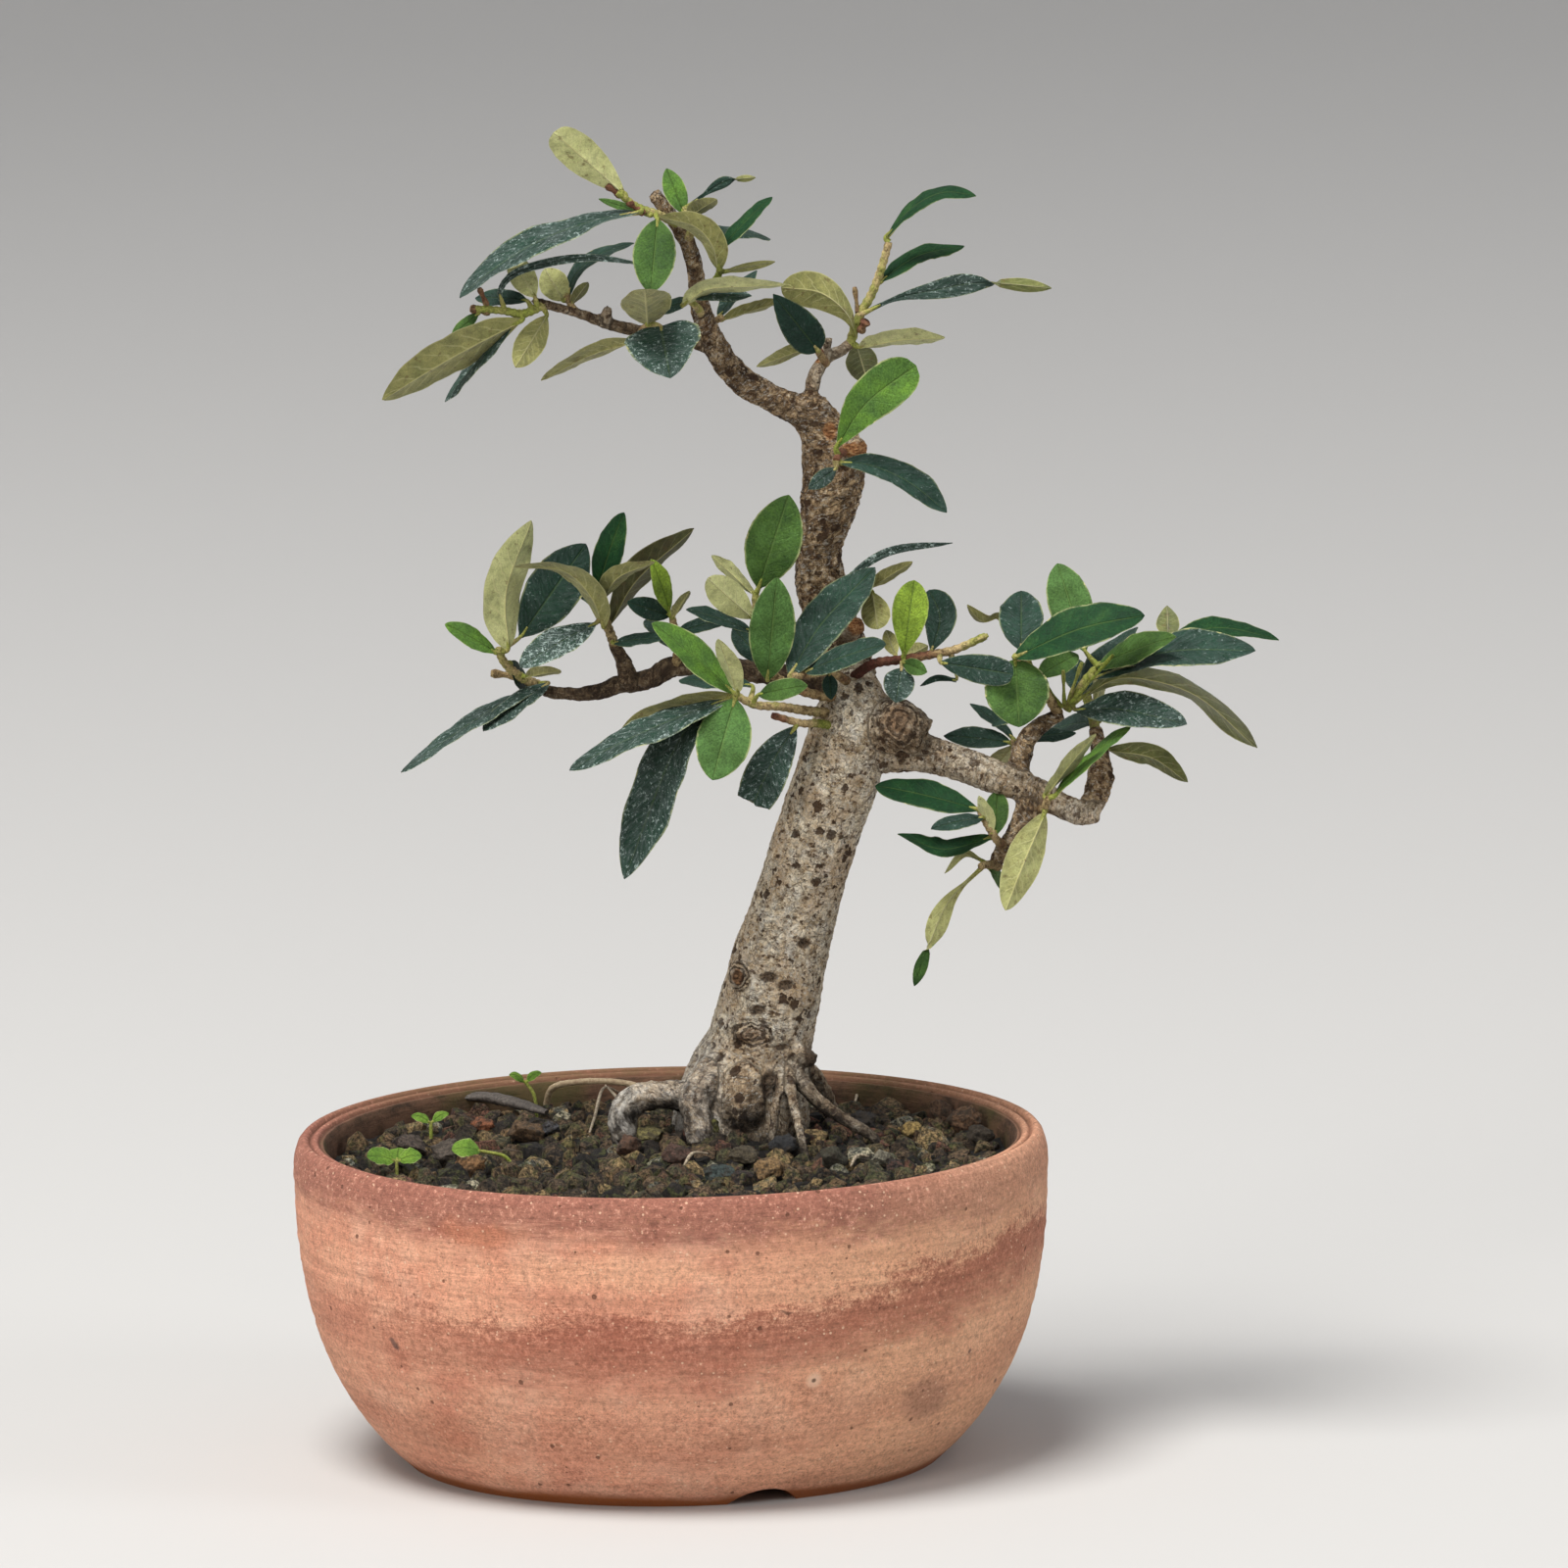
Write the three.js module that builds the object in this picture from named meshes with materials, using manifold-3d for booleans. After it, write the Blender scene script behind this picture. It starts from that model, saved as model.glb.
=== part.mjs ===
// A small cotoneaster trained as a bonsai, in the round earthenware bowl that it grows in.
// Millimetres, +Z up. It stands on z = 0, with the middle of its box over the origin.

import * as THREE from 'three';
import { mergeVertices } from 'three/addons/utils/BufferGeometryUtils.js';
import Module from 'manifold-3d';

const wasm = await Module();
wasm.setup();

// Driving dimensions

const GAP = 0.3;

const POT = {
  height: 76,
  lipRadius: 87.5,
  footRadius: 62.3,
  footInnerRadius: 51,
  footHeight: 3.4,
  floorTop: 10.5,
  drainRadius: 7,
  sides: 36,
  notches: 3,
  notchRadius: 11,
  notchRise: 3.9,
  notchLength: 28,
  notchDirection: -71,
};

const SOIL = {
  level: 70.3,
  mound: 4.6,
  moundRadius: 26,
  moundX: 19,
  moundY: 22,
  grainRelief: 1.9,
  rings: 14,
};

const LEAF = {
  leastWidthByLength: 0.38,
  ribThickness: 1.1,
  petioleWidth: 1.1,
  fold: 0.2,
  arch: 0.025,
  wave: 0.035,
  smallLength: 15,
};

const SHOOT_SIDES = 4;

// The view from which the tree was measured: a camera far off, a little above the pot and slightly rolled.
// seen() puts a pixel of a 1600 by 1600 frame at a depth in millimetres behind the pot's axis.

const VIEW = {
  distance: 3000,
  elevation: THREE.MathUtils.degToRad(8.8),
  roll: THREE.MathUtils.degToRad(0.85),
  pixelsPerMm: 4.41,
  aim: new THREE.Vector3(27.6, 0, 157),
  middle: 800,
};

const toCamera = new THREE.Vector3(0, -Math.cos(VIEW.elevation), Math.sin(VIEW.elevation));
const levelRight = new THREE.Vector3(1, 0, 0);
const levelUp = new THREE.Vector3().crossVectors(toCamera, levelRight);
const viewRight = levelRight.clone().applyAxisAngle(toCamera, -VIEW.roll);
const viewUp = levelUp.clone().applyAxisAngle(toCamera, -VIEW.roll);
const camera = VIEW.aim.clone().addScaledVector(toCamera, VIEW.distance);

function sightLine(px, py) {
  const focal = VIEW.distance * VIEW.pixelsPerMm;
  return toCamera
    .clone()
    .multiplyScalar(-focal)
    .addScaledVector(viewRight, px - VIEW.middle)
    .addScaledVector(viewUp, VIEW.middle - py);
}

function seen(px, py, depth) {
  const line = sightLine(px, py);
  return camera.clone().addScaledVector(line, (depth - camera.y) / line.y);
}

function seenAtHeight(px, py, height) {
  const line = sightLine(px, py);
  return camera.clone().addScaledVector(line, (height - camera.z) / line.z);
}

// Solids

function randomFrom(seed) {
  let state = seed;
  return () => {
    state = (state * 1664525 + 1013904223) % 4294967296;
    return state / 4294967296;
  };
}

function solid(geometry) {
  const bare = new THREE.BufferGeometry();
  bare.setAttribute('position', geometry.getAttribute('position'));
  if (geometry.index) bare.setIndex(geometry.index);
  const merged = mergeVertices(bare, 1e-4);
  return new wasm.Manifold(
    new wasm.Mesh({
      numProp: 3,
      vertProperties: new Float32Array(merged.getAttribute('position').array),
      triVerts: new Uint32Array(merged.index.array),
    }),
  );
}

function joined(solids) {
  return wasm.Manifold.union(solids);
}

function largestPiece(body) {
  return body.decompose().sort((a, b) => b.volume() - a.volume())[0];
}

function addMesh(group, name, body, colour, roughness) {
  const { vertProperties, triVerts } = body.getMesh();
  const geometry = new THREE.BufferGeometry();
  geometry.setAttribute('position', new THREE.BufferAttribute(Float32Array.from(vertProperties), 3));
  geometry.setIndex(new THREE.BufferAttribute(Uint32Array.from(triVerts), 1));
  geometry.computeVertexNormals();
  const material = new THREE.MeshStandardMaterial({ color: colour, roughness, metalness: 0 });
  const mesh = new THREE.Mesh(geometry, material);
  mesh.name = name;
  group.add(mesh);
}

// A loft closes a row of rings, each a list of the same number of points, with a fan at each end.

function loft(rings, quad) {
  const sides = rings[0].length;
  const positions = rings.flat().flatMap((point) => point.toArray());
  const index = [];
  const last = (rings.length - 1) * sides;
  for (let ring = 0; ring < rings.length - 1; ring += 1) {
    for (let side = 0; side < sides; side += 1) {
      const next = (side + 1) % sides;
      const a = ring * sides + side;
      const b = ring * sides + next;
      index.push(...quad(a, b, b + sides, a + sides, side));
    }
  }
  for (let side = 1; side < sides - 1; side += 1) {
    index.push(0, side + 1, side);
    index.push(last, last + side, last + side + 1);
  }
  const geometry = new THREE.BufferGeometry();
  geometry.setAttribute('position', new THREE.Float32BufferAttribute(positions, 3));
  geometry.setIndex(index);
  return geometry;
}

function splitEvenly(a, b, c, d) {
  return [a, b, c, a, c, d];
}

// A limb is a tapering round tube through points, each with its own radius. Bark gives it an uneven girth.

function limb(points, radii, sides, steps, grow = 0, bark = 0, seed = 1) {
  const random = randomFrom(seed);
  const curve = new THREE.CatmullRomCurve3(points, false, 'centripetal');
  const frames = curve.computeFrenetFrames(steps, false);
  const rings = [];
  for (let step = 0; step <= steps; step += 1) {
    const along = (step / steps) * (radii.length - 1);
    const low = Math.min(Math.floor(along), radii.length - 2);
    const radius = THREE.MathUtils.lerp(radii[low], radii[low + 1], along - low) + grow;
    const centre = curve.getPoint(step / steps);
    const overrun = step === 0 ? -grow : step === steps ? grow : 0;
    centre.addScaledVector(curve.getTangent(step / steps), overrun);
    const ring = [];
    for (let side = 0; side < sides; side += 1) {
      const angle = (side / sides) * Math.PI * 2;
      const girth = radius * (1 + bark * (random() - 0.5));
      ring.push(
        centre
          .clone()
          .addScaledVector(frames.normals[step], Math.cos(angle) * girth)
          .addScaledVector(frames.binormals[step], Math.sin(angle) * girth),
      );
    }
    rings.push(ring);
  }
  return solid(loft(rings, splitEvenly));
}

// Pot: thrown as one bowl, with a rounded lip, a trimmed foot ring, drainage notches and a drain hole.

const potOuter = [
  [POT.footRadius, 0],
  [POT.footRadius + 4.5, 4.2],
  [71.2, 9.2],
  [75.9, 16],
  [80.9, 26],
  [84.8, 39],
  [86.9, 53],
  [POT.lipRadius, 64],
  [POT.lipRadius, 71.5],
  [POT.lipRadius - 0.9, POT.height - 1.4],
  [POT.lipRadius - 3.2, POT.height],
  [POT.lipRadius - 5.6, POT.height - 0.5],
  [POT.lipRadius - 7, POT.height - 2],
];

const potInner = [
  [POT.lipRadius - 7.6, POT.height - 4.6],
  [79.3, 55],
  [76.6, 36],
  [70.5, 22],
  [60, 13.2],
  [46, POT.floorTop],
];

function potBody() {
  const profile = [
    ...potOuter,
    ...potInner,
    [POT.drainRadius, POT.floorTop],
    [POT.drainRadius, POT.footHeight],
    [POT.footInnerRadius, POT.footHeight],
    [POT.footInnerRadius + 1.5, 0],
    potOuter[0],
  ].map(([radius, height]) => new THREE.Vector2(radius, height));
  let bowl = solid(uprightLathe(profile));
  const tunnel = new THREE.CylinderGeometry(POT.notchRadius, POT.notchRadius, POT.notchLength, 16);
  for (let notch = 0; notch < POT.notches; notch += 1) {
    const cutter = tunnel.clone();
    cutter.rotateZ(Math.PI / 2);
    cutter.translate(POT.footRadius, 0, POT.notchRise - POT.notchRadius);
    cutter.rotateZ(THREE.MathUtils.degToRad(POT.notchDirection + (notch * 360) / POT.notches));
    bowl = bowl.subtract(solid(cutter));
  }
  return bowl;
}

function uprightLathe(profile) {
  const lathe = new THREE.LatheGeometry(profile, POT.sides);
  lathe.rotateX(Math.PI / 2);
  return lathe;
}

// Wood: surface roots, trunk, leader, branches and woody twigs grew as one piece.
// Each point is a pixel, a depth and a radius in millimetres.

const WOOD = {
  trunk: {
    sides: 11, steps: 11, bark: 0.1,
    points: [
      [756, 1172, 22, 16.5], [758, 1132, 22, 15.8], [764, 1100, 22, 14.4], [773, 1072, 22, 12.6],
      [785, 1023, 21, 11.6], [795, 980, 20, 11], [812, 925, 19, 10], [824, 882, 18, 9.8],
      [834, 851, 17, 9.6], [855, 790, 16, 9.8], [868, 745, 15, 9.2], [874, 712, 15, 7.6], [878, 690, 15, 4.2],
    ],
  },
  upperTrunk: {
    sides: 8, steps: 11, bark: 0.22,
    points: [
      [872, 735, 19, 7], [862, 680, 22, 6.6], [850, 640, 23, 6], [839, 600, 23, 5.8], [836, 560, 22, 5.2],
      [845, 518, 21, 6.4], [851, 482, 20, 7.2], [848, 456, 19, 6.8], [836, 432, 18, 5.2], [824, 414, 17, 4.2],
    ],
  },
  leader: {
    sides: 6, steps: 11, bark: 0.22,
    points: [
      [832, 426, 18, 4], [805, 414, 17, 3.4], [779, 402, 16, 3.3], [757, 388, 15, 3.2], [737, 365, 14, 3],
      [722, 337, 13, 2.7], [714, 309, 12, 2.3], [709, 273, 11, 2], [700, 246, 10, 1.9], [688, 226, 9, 1.8],
      [667, 197, 8, 1.6],
    ],
  },
  crownLeftBranch: {
    sides: 6, steps: 7, bark: 0.2,
    points: [
      [728, 356, 14, 1.8], [690, 343, 12, 1.5], [648, 337, 10, 1.4], [617, 329, 8, 1.4], [589, 319, 6, 1.2],
      [558, 311, 4, 1.1], [543, 306, 3, 0.9],
    ],
  },
  crownLeftStub: {
    sides: 5, steps: 1, bark: 0,
    points: [[619, 331, 8, 1.3], [619, 322, 7, 1.3], [620, 314, 6, 1.1]],
  },
  crownRightBranch: {
    sides: 6, steps: 5, bark: 0.15,
    points: [
      [824, 424, 17, 2.2], [828, 398, 18, 1.9], [833, 380, 18, 1.7], [845, 364, 19, 1.5], [860, 357, 19, 1.4],
      [868, 350, 20, 1.3],
    ],
  },
  crownRightStub: {
    sides: 5, steps: 1, bark: 0,
    points: [[842, 368, 18, 1.2], [843, 356, 17, 1.1], [846, 345, 16, 1]],
  },
  trunkKnob: {
    sides: 6, steps: 2, bark: 0.15,
    points: [[850, 464, 18, 4], [866, 460, 14, 3], [880, 457, 12, 2.4]],
  },
  cutStub: {
    sides: 6, steps: 2, bark: 0.1,
    points: [[848, 642, 20, 2.8], [866, 641, 16, 2.6], [876, 641, 14, 2.5]],
  },
  leftBranch: {
    sides: 6, steps: 9, bark: 0.3,
    points: [
      [856, 700, 20, 3.4], [812, 692, 22, 2.9], [760, 684, 24, 2.6], [688, 680, 25, 2.5], [661, 693, 25, 2.4],
      [630, 699, 25, 2.2], [604, 707, 25, 1.9], [567, 707, 24, 1.5], [544, 700, 24, 1.2],
    ],
  },
  leftSpur: {
    sides: 6, steps: 3, bark: 0.3,
    points: [[642, 696, 24, 2.4], [637, 678, 22, 2], [626, 656, 21, 1.3]],
  },
  shoulderKnob: {
    sides: 8, steps: 3, bark: 0.12,
    points: [[884, 742, 15, 7], [903, 737, 12, 5.6], [922, 733, 8, 4.4]],
  },
  rightBranch: {
    sides: 7, steps: 10, bark: 0.16,
    points: [
      [868, 755, 15, 7], [904, 764, 14, 5.4], [935, 769, 12, 4], [960, 778, 10, 3.3], [985, 787, 8, 3.1],
      [1018, 799, 6, 3], [1052, 808, 4, 3], [1085, 823, 3, 3], [1104, 830, 3, 2.9], [1121, 828, 3, 2.4],
    ],
  },
  rightRiser: {
    sides: 7, steps: 6, bark: 0.25,
    points: [
      [1036, 802, 6, 2.8], [1041, 775, 7, 2.7], [1046, 757, 8, 2.4], [1062, 740, 8, 2], [1084, 727, 8, 1.6],
    ],
  },
  rightOuterRiser: {
    sides: 7, steps: 5, bark: 0.35,
    points: [
      [1108, 832, 4, 2.6], [1119, 810, 6, 3], [1123, 788, 8, 2.9], [1121, 764, 10, 2.2], [1118, 742, 11, 1.6],
    ],
  },
  lowSpur: {
    sides: 7, steps: 6, bark: 0.4,
    points: [[1052, 806, 4, 3], [1047, 832, 2, 3], [1036, 854, 1, 2.6], [1022, 870, 1, 2], [1014, 886, 1, 1.3]],
  },
  leftRoot: {
    sides: 6, steps: 6, bark: 0.2,
    points: [
      [740, 1104, 18, 4], [700, 1111, 15, 3.6], [672, 1109, 13, 3], [646, 1113, 12, 2.9], [630, 1128, 12, 3],
      [636, 1160, 12, 3], [640, 1186, 12, 2.6],
    ],
  },
  leftButtress: {
    sides: 6, steps: 3, bark: 0.15,
    points: [[728, 1096, 14, 4.5], [710, 1122, 9, 3.8], [716, 1168, 6, 3.2]],
  },
  frontBulge: {
    sides: 7, steps: 3, bark: 0.15,
    points: [[768, 1082, 14, 6.5], [764, 1124, 11, 6], [776, 1172, 10, 5]],
  },
  frontRootA: {
    sides: 5, steps: 3, bark: 0.15,
    points: [[795, 1085, 12, 1.8], [793, 1118, 6, 1.3], [787, 1168, 3, 1]],
  },
  frontRootB: {
    sides: 5, steps: 4, bark: 0.15,
    points: [[802, 1090, 12, 1.8], [808, 1117, 5, 1.3], [816, 1155, -4, 1.1], [826, 1196, -10, 0.9]],
  },
  rightRoot: {
    sides: 5, steps: 5, bark: 0.2,
    points: [
      [806, 1088, 13, 2.6], [832, 1121, 9, 2], [858, 1140, 8, 1.7], [890, 1160, 8, 1.4], [902, 1178, 8, 1],
    ],
  },
  backRoot: {
    sides: 5, steps: 3, bark: 0.15,
    points: [[808, 1082, 22, 3.4], [834, 1108, 28, 2.6], [852, 1142, 32, 1.8]],
  },
  rearRoot: {
    sides: 6, steps: 3, bark: 0.2,
    points: [[752, 1086, 30, 5.5], [738, 1102, 40, 3.6], [730, 1132, 48, 2.2]],
  },
};

const KNOTS = [
  { at: [767, 1056, 11.6], size: [4.6, 2.6, 2.2] },
  { at: [753, 996, 12.6], size: [2.4, 2.4, 3.4] },
  { at: [822, 1078, 13], size: [3.2, 3, 3] },
  { at: [916, 735, 5.4], size: [3.6, 2.4, 3.6] },
];

function woodBody(grow) {
  const limbs = Object.values(WOOD).map((part, number) => {
    const centres = part.points.map(([px, py, depth]) => seen(px, py, depth));
    const radii = part.points.map((point) => point[3]);
    return limb(centres, radii, part.sides, part.steps, grow, part.bark, number + 1);
  });
  const knots = KNOTS.map(({ at, size }) => {
    const ball = new THREE.SphereGeometry(1, 6, 4);
    ball.scale(size[0] + grow, size[1] + grow, size[2] + grow);
    ball.translate(...seen(...at).toArray());
    return solid(ball);
  });
  return joined([...limbs, ...knots]);
}

// Leaves: leathery elliptic blades on short petioles, folded a little along the rib, with a waved edge.
// A leaf's row: base pixel, tip pixel, seen width in pixels, depth of base and tip, the face that shows
// (1 upper, -1 under), and the pixels that its rib passes. A shoot's row: pixel and depth.

const BLADE_STATIONS = [
  { along: 0, spread: 0.12 },
  { along: 0.24, spread: 0.76 },
  { along: 0.55, spread: 1 },
  { along: 0.85, spread: 0.6 },
];

const SMALL_BLADE_STATIONS = [
  { along: 0, spread: 0.12 },
  { along: 0.36, spread: 0.94 },
  { along: 0.76, spread: 0.8 },
];

const SPRAYS = {
  crown_tip_spray: {
    radius: 0.9,
    shoot: [[553, 312, 2], [534, 320, 0], [513, 317, -2], [484, 315, -3]],
    leaves: [
      [533, 326, 390, 408, 38, -1, -8, -1, []],
      [523, 333, 454, 410, 15, 0, 4, 1, []],
      [488, 320, 460, 346, 12, -3, -5, 1, []],
      [538, 307, 485, 304, 18, 2, 10, 1, []],
      [547, 304, 519, 263, 23, 3, 10, -1, []],
      [558, 322, 526, 375, 30, 1, -10, -1, []],
      [515, 318, 659, 270, 8, -2, -4, 1, [[510, 298], [522, 281], [559, 268], [604, 263]]],
    ],
  },
  crown_left_spray: {
    radius: 0.8,
    shoot: [[590, 321, 6], [583, 312, 6], [578, 302, 7]],
    leaves: [
      [575, 307, 556, 274, 23, 7, 14, -1, []],
      [583, 310, 600, 288, 12, 6, 2, -1, []],
      [580, 303, 647, 248, 13, 8, 14, 1, [[586, 283], [608, 262]]],
    ],
  },
  crown_front_spray: {
    radius: 0.9,
    shoot: [[655, 340, 9], [658, 335, 4], [664, 330, 0]],
    leaves: [
      [661, 331, 658, 295, 52, 0, -20, -1, []],
      [674, 333, 684, 386, 78, -1, -18, 1, []],
      [652, 346, 552, 388, 15, 5, 2, -1, [[604, 360]]],
    ],
  },
  leader_side_spray: {
    radius: 0.8,
    shoot: [[716, 322, 12], [712, 314, 6], [702, 306, 2]],
    leaves: [
      [696, 312, 801, 290, 17, 1, -8, -1, [[719, 294], [758, 291]]],
      [704, 303, 767, 302, 15, 2, 0, 1, []],
      [706, 306, 672, 318, 14, 3, 8, 1, []],
    ],
  },
  leader_right_spray: {
    radius: 0.8,
    shoot: [[722, 328, 13], [730, 327, 16], [738, 324, 17]],
    leaves: [
      [736, 326, 796, 308, 12, 17, 20, -1, []],
      [734, 324, 772, 276, 16, 17, 30, 1, []],
    ],
  },
  apex_left_spray: {
    radius: 0.9,
    shoot: [[690, 228, 8], [672, 219, 4], [650, 211, 2], [630, 196, 0]],
    leaves: [
      [638, 199, 565, 135, 36, 1, -6, -1, []],
      [654, 216, 469, 304, 25, 1, -8, 1, [[608, 225], [549, 247], [500, 278]]],
      [664, 220, 611, 203, 9, 2, 12, 1, []],
      [671, 224, 664, 299, 44, 1, -9, 1, []],
    ],
  },
  apex_spray: {
    radius: 0.9,
    shoot: [[700, 246, 10], [706, 234, 6], [704, 222, 4], [698, 214, 4]],
    leaves: [
      [698, 218, 680, 172, 23, 4, 8, 1, []],
      [706, 208, 771, 181, 12, 4, 8, 1, [[738, 186]]],
      [702, 221, 731, 203, 17, 4, -6, -1, []],
      [708, 233, 786, 244, 10, 7, 18, 1, []],
    ],
  },
  apex_side_spray: {
    radius: 0.8,
    shoot: [[712, 298, 12], [724, 292, 6], [734, 278, 2], [733, 262, 0]],
    leaves: [
      [734, 276, 673, 221, 23, 0, -6, -1, [[728, 250], [710, 230]]],
      [733, 258, 788, 201, 15, 0, 6, 1, []],
      [740, 277, 791, 267, 9, 2, 8, -1, []],
    ],
  },
  crown_right_spray: {
    radius: 1,
    shoot: [[867, 352, 20], [877, 322, 20], [889, 301, 20], [899, 275, 20], [907, 247, 20]],
    leaves: [
      [904, 243, 996, 200, 14, 20, 16, 1, [[930, 213], [962, 197]]],
      [897, 288, 984, 251, 20, 20, 28, 1, [[936, 262]]],
      [880, 322, 1073, 292, 22, 19, 12, 1, [[918, 308], [970, 298], [1017, 293]]],
      [874, 348, 964, 343, 17, 19, 8, -1, [[916, 340]]],
      [872, 336, 796, 293, 29, 19, 12, -1, [[860, 312], [826, 294]]],
      [872, 350, 876, 391, 33, 20, 32, -1, []],
      [886, 298, 868, 262, 13, 20, 32, 1, []],
    ],
  },
  crown_right_inner_spray: {
    radius: 0.8,
    shoot: [[843, 371, 18], [837, 362, 12], [832, 354, 8]],
    leaves: [
      [835, 358, 789, 300, 36, 8, -2, 1, []],
      [830, 352, 772, 374, 14, 9, 4, -1, []],
    ],
  },
  trunk_shoot_spray: {
    radius: 0.9,
    shoot: [[862, 461, 13], [857, 463, 8], [853, 470, 5]],
    leaves: [
      [853, 457, 932, 370, 50, 6, -4, 1, [[876, 406]]],
      [857, 472, 966, 523, 27, 6, 0, 1, [[884, 474], [925, 491]]],
      [853, 478, 825, 499, 17, 5, 0, 1, []],
    ],
  },
  left_tip_spray: {
    radius: 1,
    shoot: [[549, 699, 24], [530, 690, 20], [514, 675, 16], [508, 662, 14]],
    leaves: [
      [518, 663, 542, 531, 40, 14, 10, -1, [[515, 606]]],
      [506, 666, 454, 637, 20, 14, 10, 1, []],
      [531, 650, 598, 555, 56, 17, 26, 1, []],
      [560, 697, 493, 746, 21, 21, 12, 1, []],
      [552, 703, 409, 788, 17, 22, 16, 1, [[510, 720]]],
      [536, 690, 572, 684, 12, 19, 10, -1, []],
      [520, 676, 540, 716, 14, 17, 30, 1, []],
    ],
  },
  left_spur_spray: {
    radius: 1,
    shoot: [[627, 658, 21], [618, 634, 18], [608, 613, 16]],
    leaves: [
      [608, 636, 531, 681, 31, 15, 2, 1, []],
      [616, 640, 525, 578, 16, 16, 6, -1, [[607, 612], [578, 582]]],
      [609, 606, 637, 523, 30, 16, 10, 1, []],
      [614, 612, 668, 573, 18, 15, 6, -1, [[630, 588]]],
      [620, 640, 708, 539, 27, 20, 26, -1, [[646, 594]]],
      [626, 656, 678, 652, 14, 19, 12, 1, []],
      [612, 622, 580, 590, 18, 18, 32, 1, []],
    ],
  },
  left_inner_spray: {
    radius: 0.9,
    shoot: [[690, 681, 24], [691, 655, 20], [686, 630, 17]],
    leaves: [
      [683, 624, 664, 571, 20, 17, 10, 1, []],
      [687, 629, 703, 603, 10, 16, 10, -1, []],
      [684, 628, 640, 614, 23, 18, 10, 1, []],
      [690, 646, 742, 632, 16, 20, 26, 1, []],
      [690, 664, 660, 632, 20, 22, 38, 1, []],
    ],
  },
  front_spray: {
    radius: 1,
    shoot: [[852, 728, 12], [822, 725, 5], [796, 721, 1], [770, 719, -2], [750, 709, -4]],
    leaves: [
      [748, 707, 665, 636, 30, -4, -10, 1, []],
      [753, 707, 733, 652, 20, -6, -14, -1, []],
      [746, 708, 634, 746, 21, -2, 6, -1, []],
      [744, 713, 581, 786, 26, -4, -10, 1, []],
      [724, 726, 637, 897, 50, -1, -6, 1, [[700, 745]]],
      [750, 713, 727, 796, 56, -5, -14, 1, []],
      [768, 700, 693, 694, 18, 0, 10, 1, []],
      [774, 709, 824, 700, 22, -4, -12, 1, []],
    ],
  },
  front_upper_spray: {
    radius: 1,
    shoot: [[864, 712, 13], [838, 710, 8], [806, 700, 4], [782, 680, 2], [772, 640, 2], [771, 606, 2]],
    leaves: [
      [783, 694, 793, 589, 47, -1, -6, 1, []],
      [774, 600, 805, 505, 57, 1, -4, 1, []],
      [768, 631, 722, 590, 34, 1, -6, -1, []],
      [771, 607, 726, 567, 14, 2, 6, -1, []],
      [768, 645, 700, 622, 15, 3, 2, 1, []],
      [779, 676, 748, 640, 26, 4, 16, 1, []],
    ],
  },
  hanging_leaf_spray: {
    radius: 0.9,
    shoot: [[856, 742, 12], [834, 738, 5], [818, 738, 0], [788, 730, -3]],
    leaves: [[812, 741, 769, 819, 44, -1, 0, 1, [[789, 776]]]],
  },
  centre_spray: {
    radius: 0.9,
    shoot: [[864, 695, 9], [848, 686, 3], [826, 688, -2], [808, 690, -5]],
    leaves: [
      [806, 690, 893, 579, 46, -4, 6, 1, [[836, 640]]],
      [822, 686, 904, 658, 25, -3, -16, 1, []],
      [846, 688, 848, 714, 16, 1, -6, 1, []],
      [826, 684, 812, 644, 20, -1, 8, 1, []],
    ],
  },
  upper_trunk_spray: {
    radius: 0.9,
    shoot: [[852, 612, 18], [868, 608, 12], [886, 604, 9]],
    leaves: [
      [852, 600, 972, 554, 9, 11, 6, 1, [[904, 564]]],
      [886, 600, 931, 573, 14, 9, 4, -1, []],
      [890, 604, 896, 642, 30, 9, 3, -1, []],
      [872, 606, 880, 574, 16, 12, 22, 1, []],
    ],
  },
  centre_right_spray: {
    radius: 1,
    shoot: [[872, 690, 13], [892, 677, 6], [920, 673, 2], [950, 668, 0], [974, 663, 0], [1006, 649, 0]],
    leaves: [
      [925, 671, 933, 592, 37, 1, -4, 1, []],
      [950, 664, 955, 602, 33, 2, 8, 1, [[966, 632]]],
      [912, 668, 944, 650, 20, 5, 14, -1, []],
      [922, 676, 946, 686, 17, 0, -8, 1, []],
      [920, 682, 914, 717, 32, 0, -8, 1, []],
      [962, 672, 1034, 697, 27, -2, -10, 1, []],
    ],
  },
  right_front_spray: {
    radius: 1,
    shoot: [[1080, 728, 8], [1066, 706, 2], [1050, 684, -2], [1037, 669, -4]],
    leaves: [
      [1035, 671, 1168, 628, 44, -5, -8, 1, [[1102, 642]]],
      [1042, 666, 1044, 604, 40, -1, 14, 1, []],
      [1034, 662, 987, 617, 10, -3, 4, -1, []],
      [1044, 677, 1046, 742, 60, -4, -10, 1, []],
      [1070, 712, 1012, 740, 16, 4, 14, 1, []],
      [1058, 692, 1100, 668, 24, 0, 12, 1, []],
    ],
  },
  right_outer_spray: {
    radius: 1,
    shoot: [[1088, 724, 9], [1100, 706, 8], [1120, 682, 8], [1160, 662, 8], [1196, 650, 7]],
    leaves: [
      [1107, 664, 1079, 575, 45, 9, 20, 1, []],
      [1120, 680, 1200, 651, 25, 6, -8, 1, []],
      [1192, 648, 1191, 618, 24, 8, 18, -1, []],
      [1116, 692, 1281, 664, 34, 4, -6, 1, [[1190, 666]]],
      [1197, 648, 1305, 653, 22, 8, 12, -1, [[1247, 641]]],
      [1094, 718, 1283, 763, 27, 7, -4, -1, [[1139, 691], [1178, 693], [1224, 710]]],
      [1097, 722, 1211, 734, 34, 5, -10, 1, [[1140, 718]]],
      [1104, 704, 1160, 640, 20, 10, 30, 1, []],
    ],
  },
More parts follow.
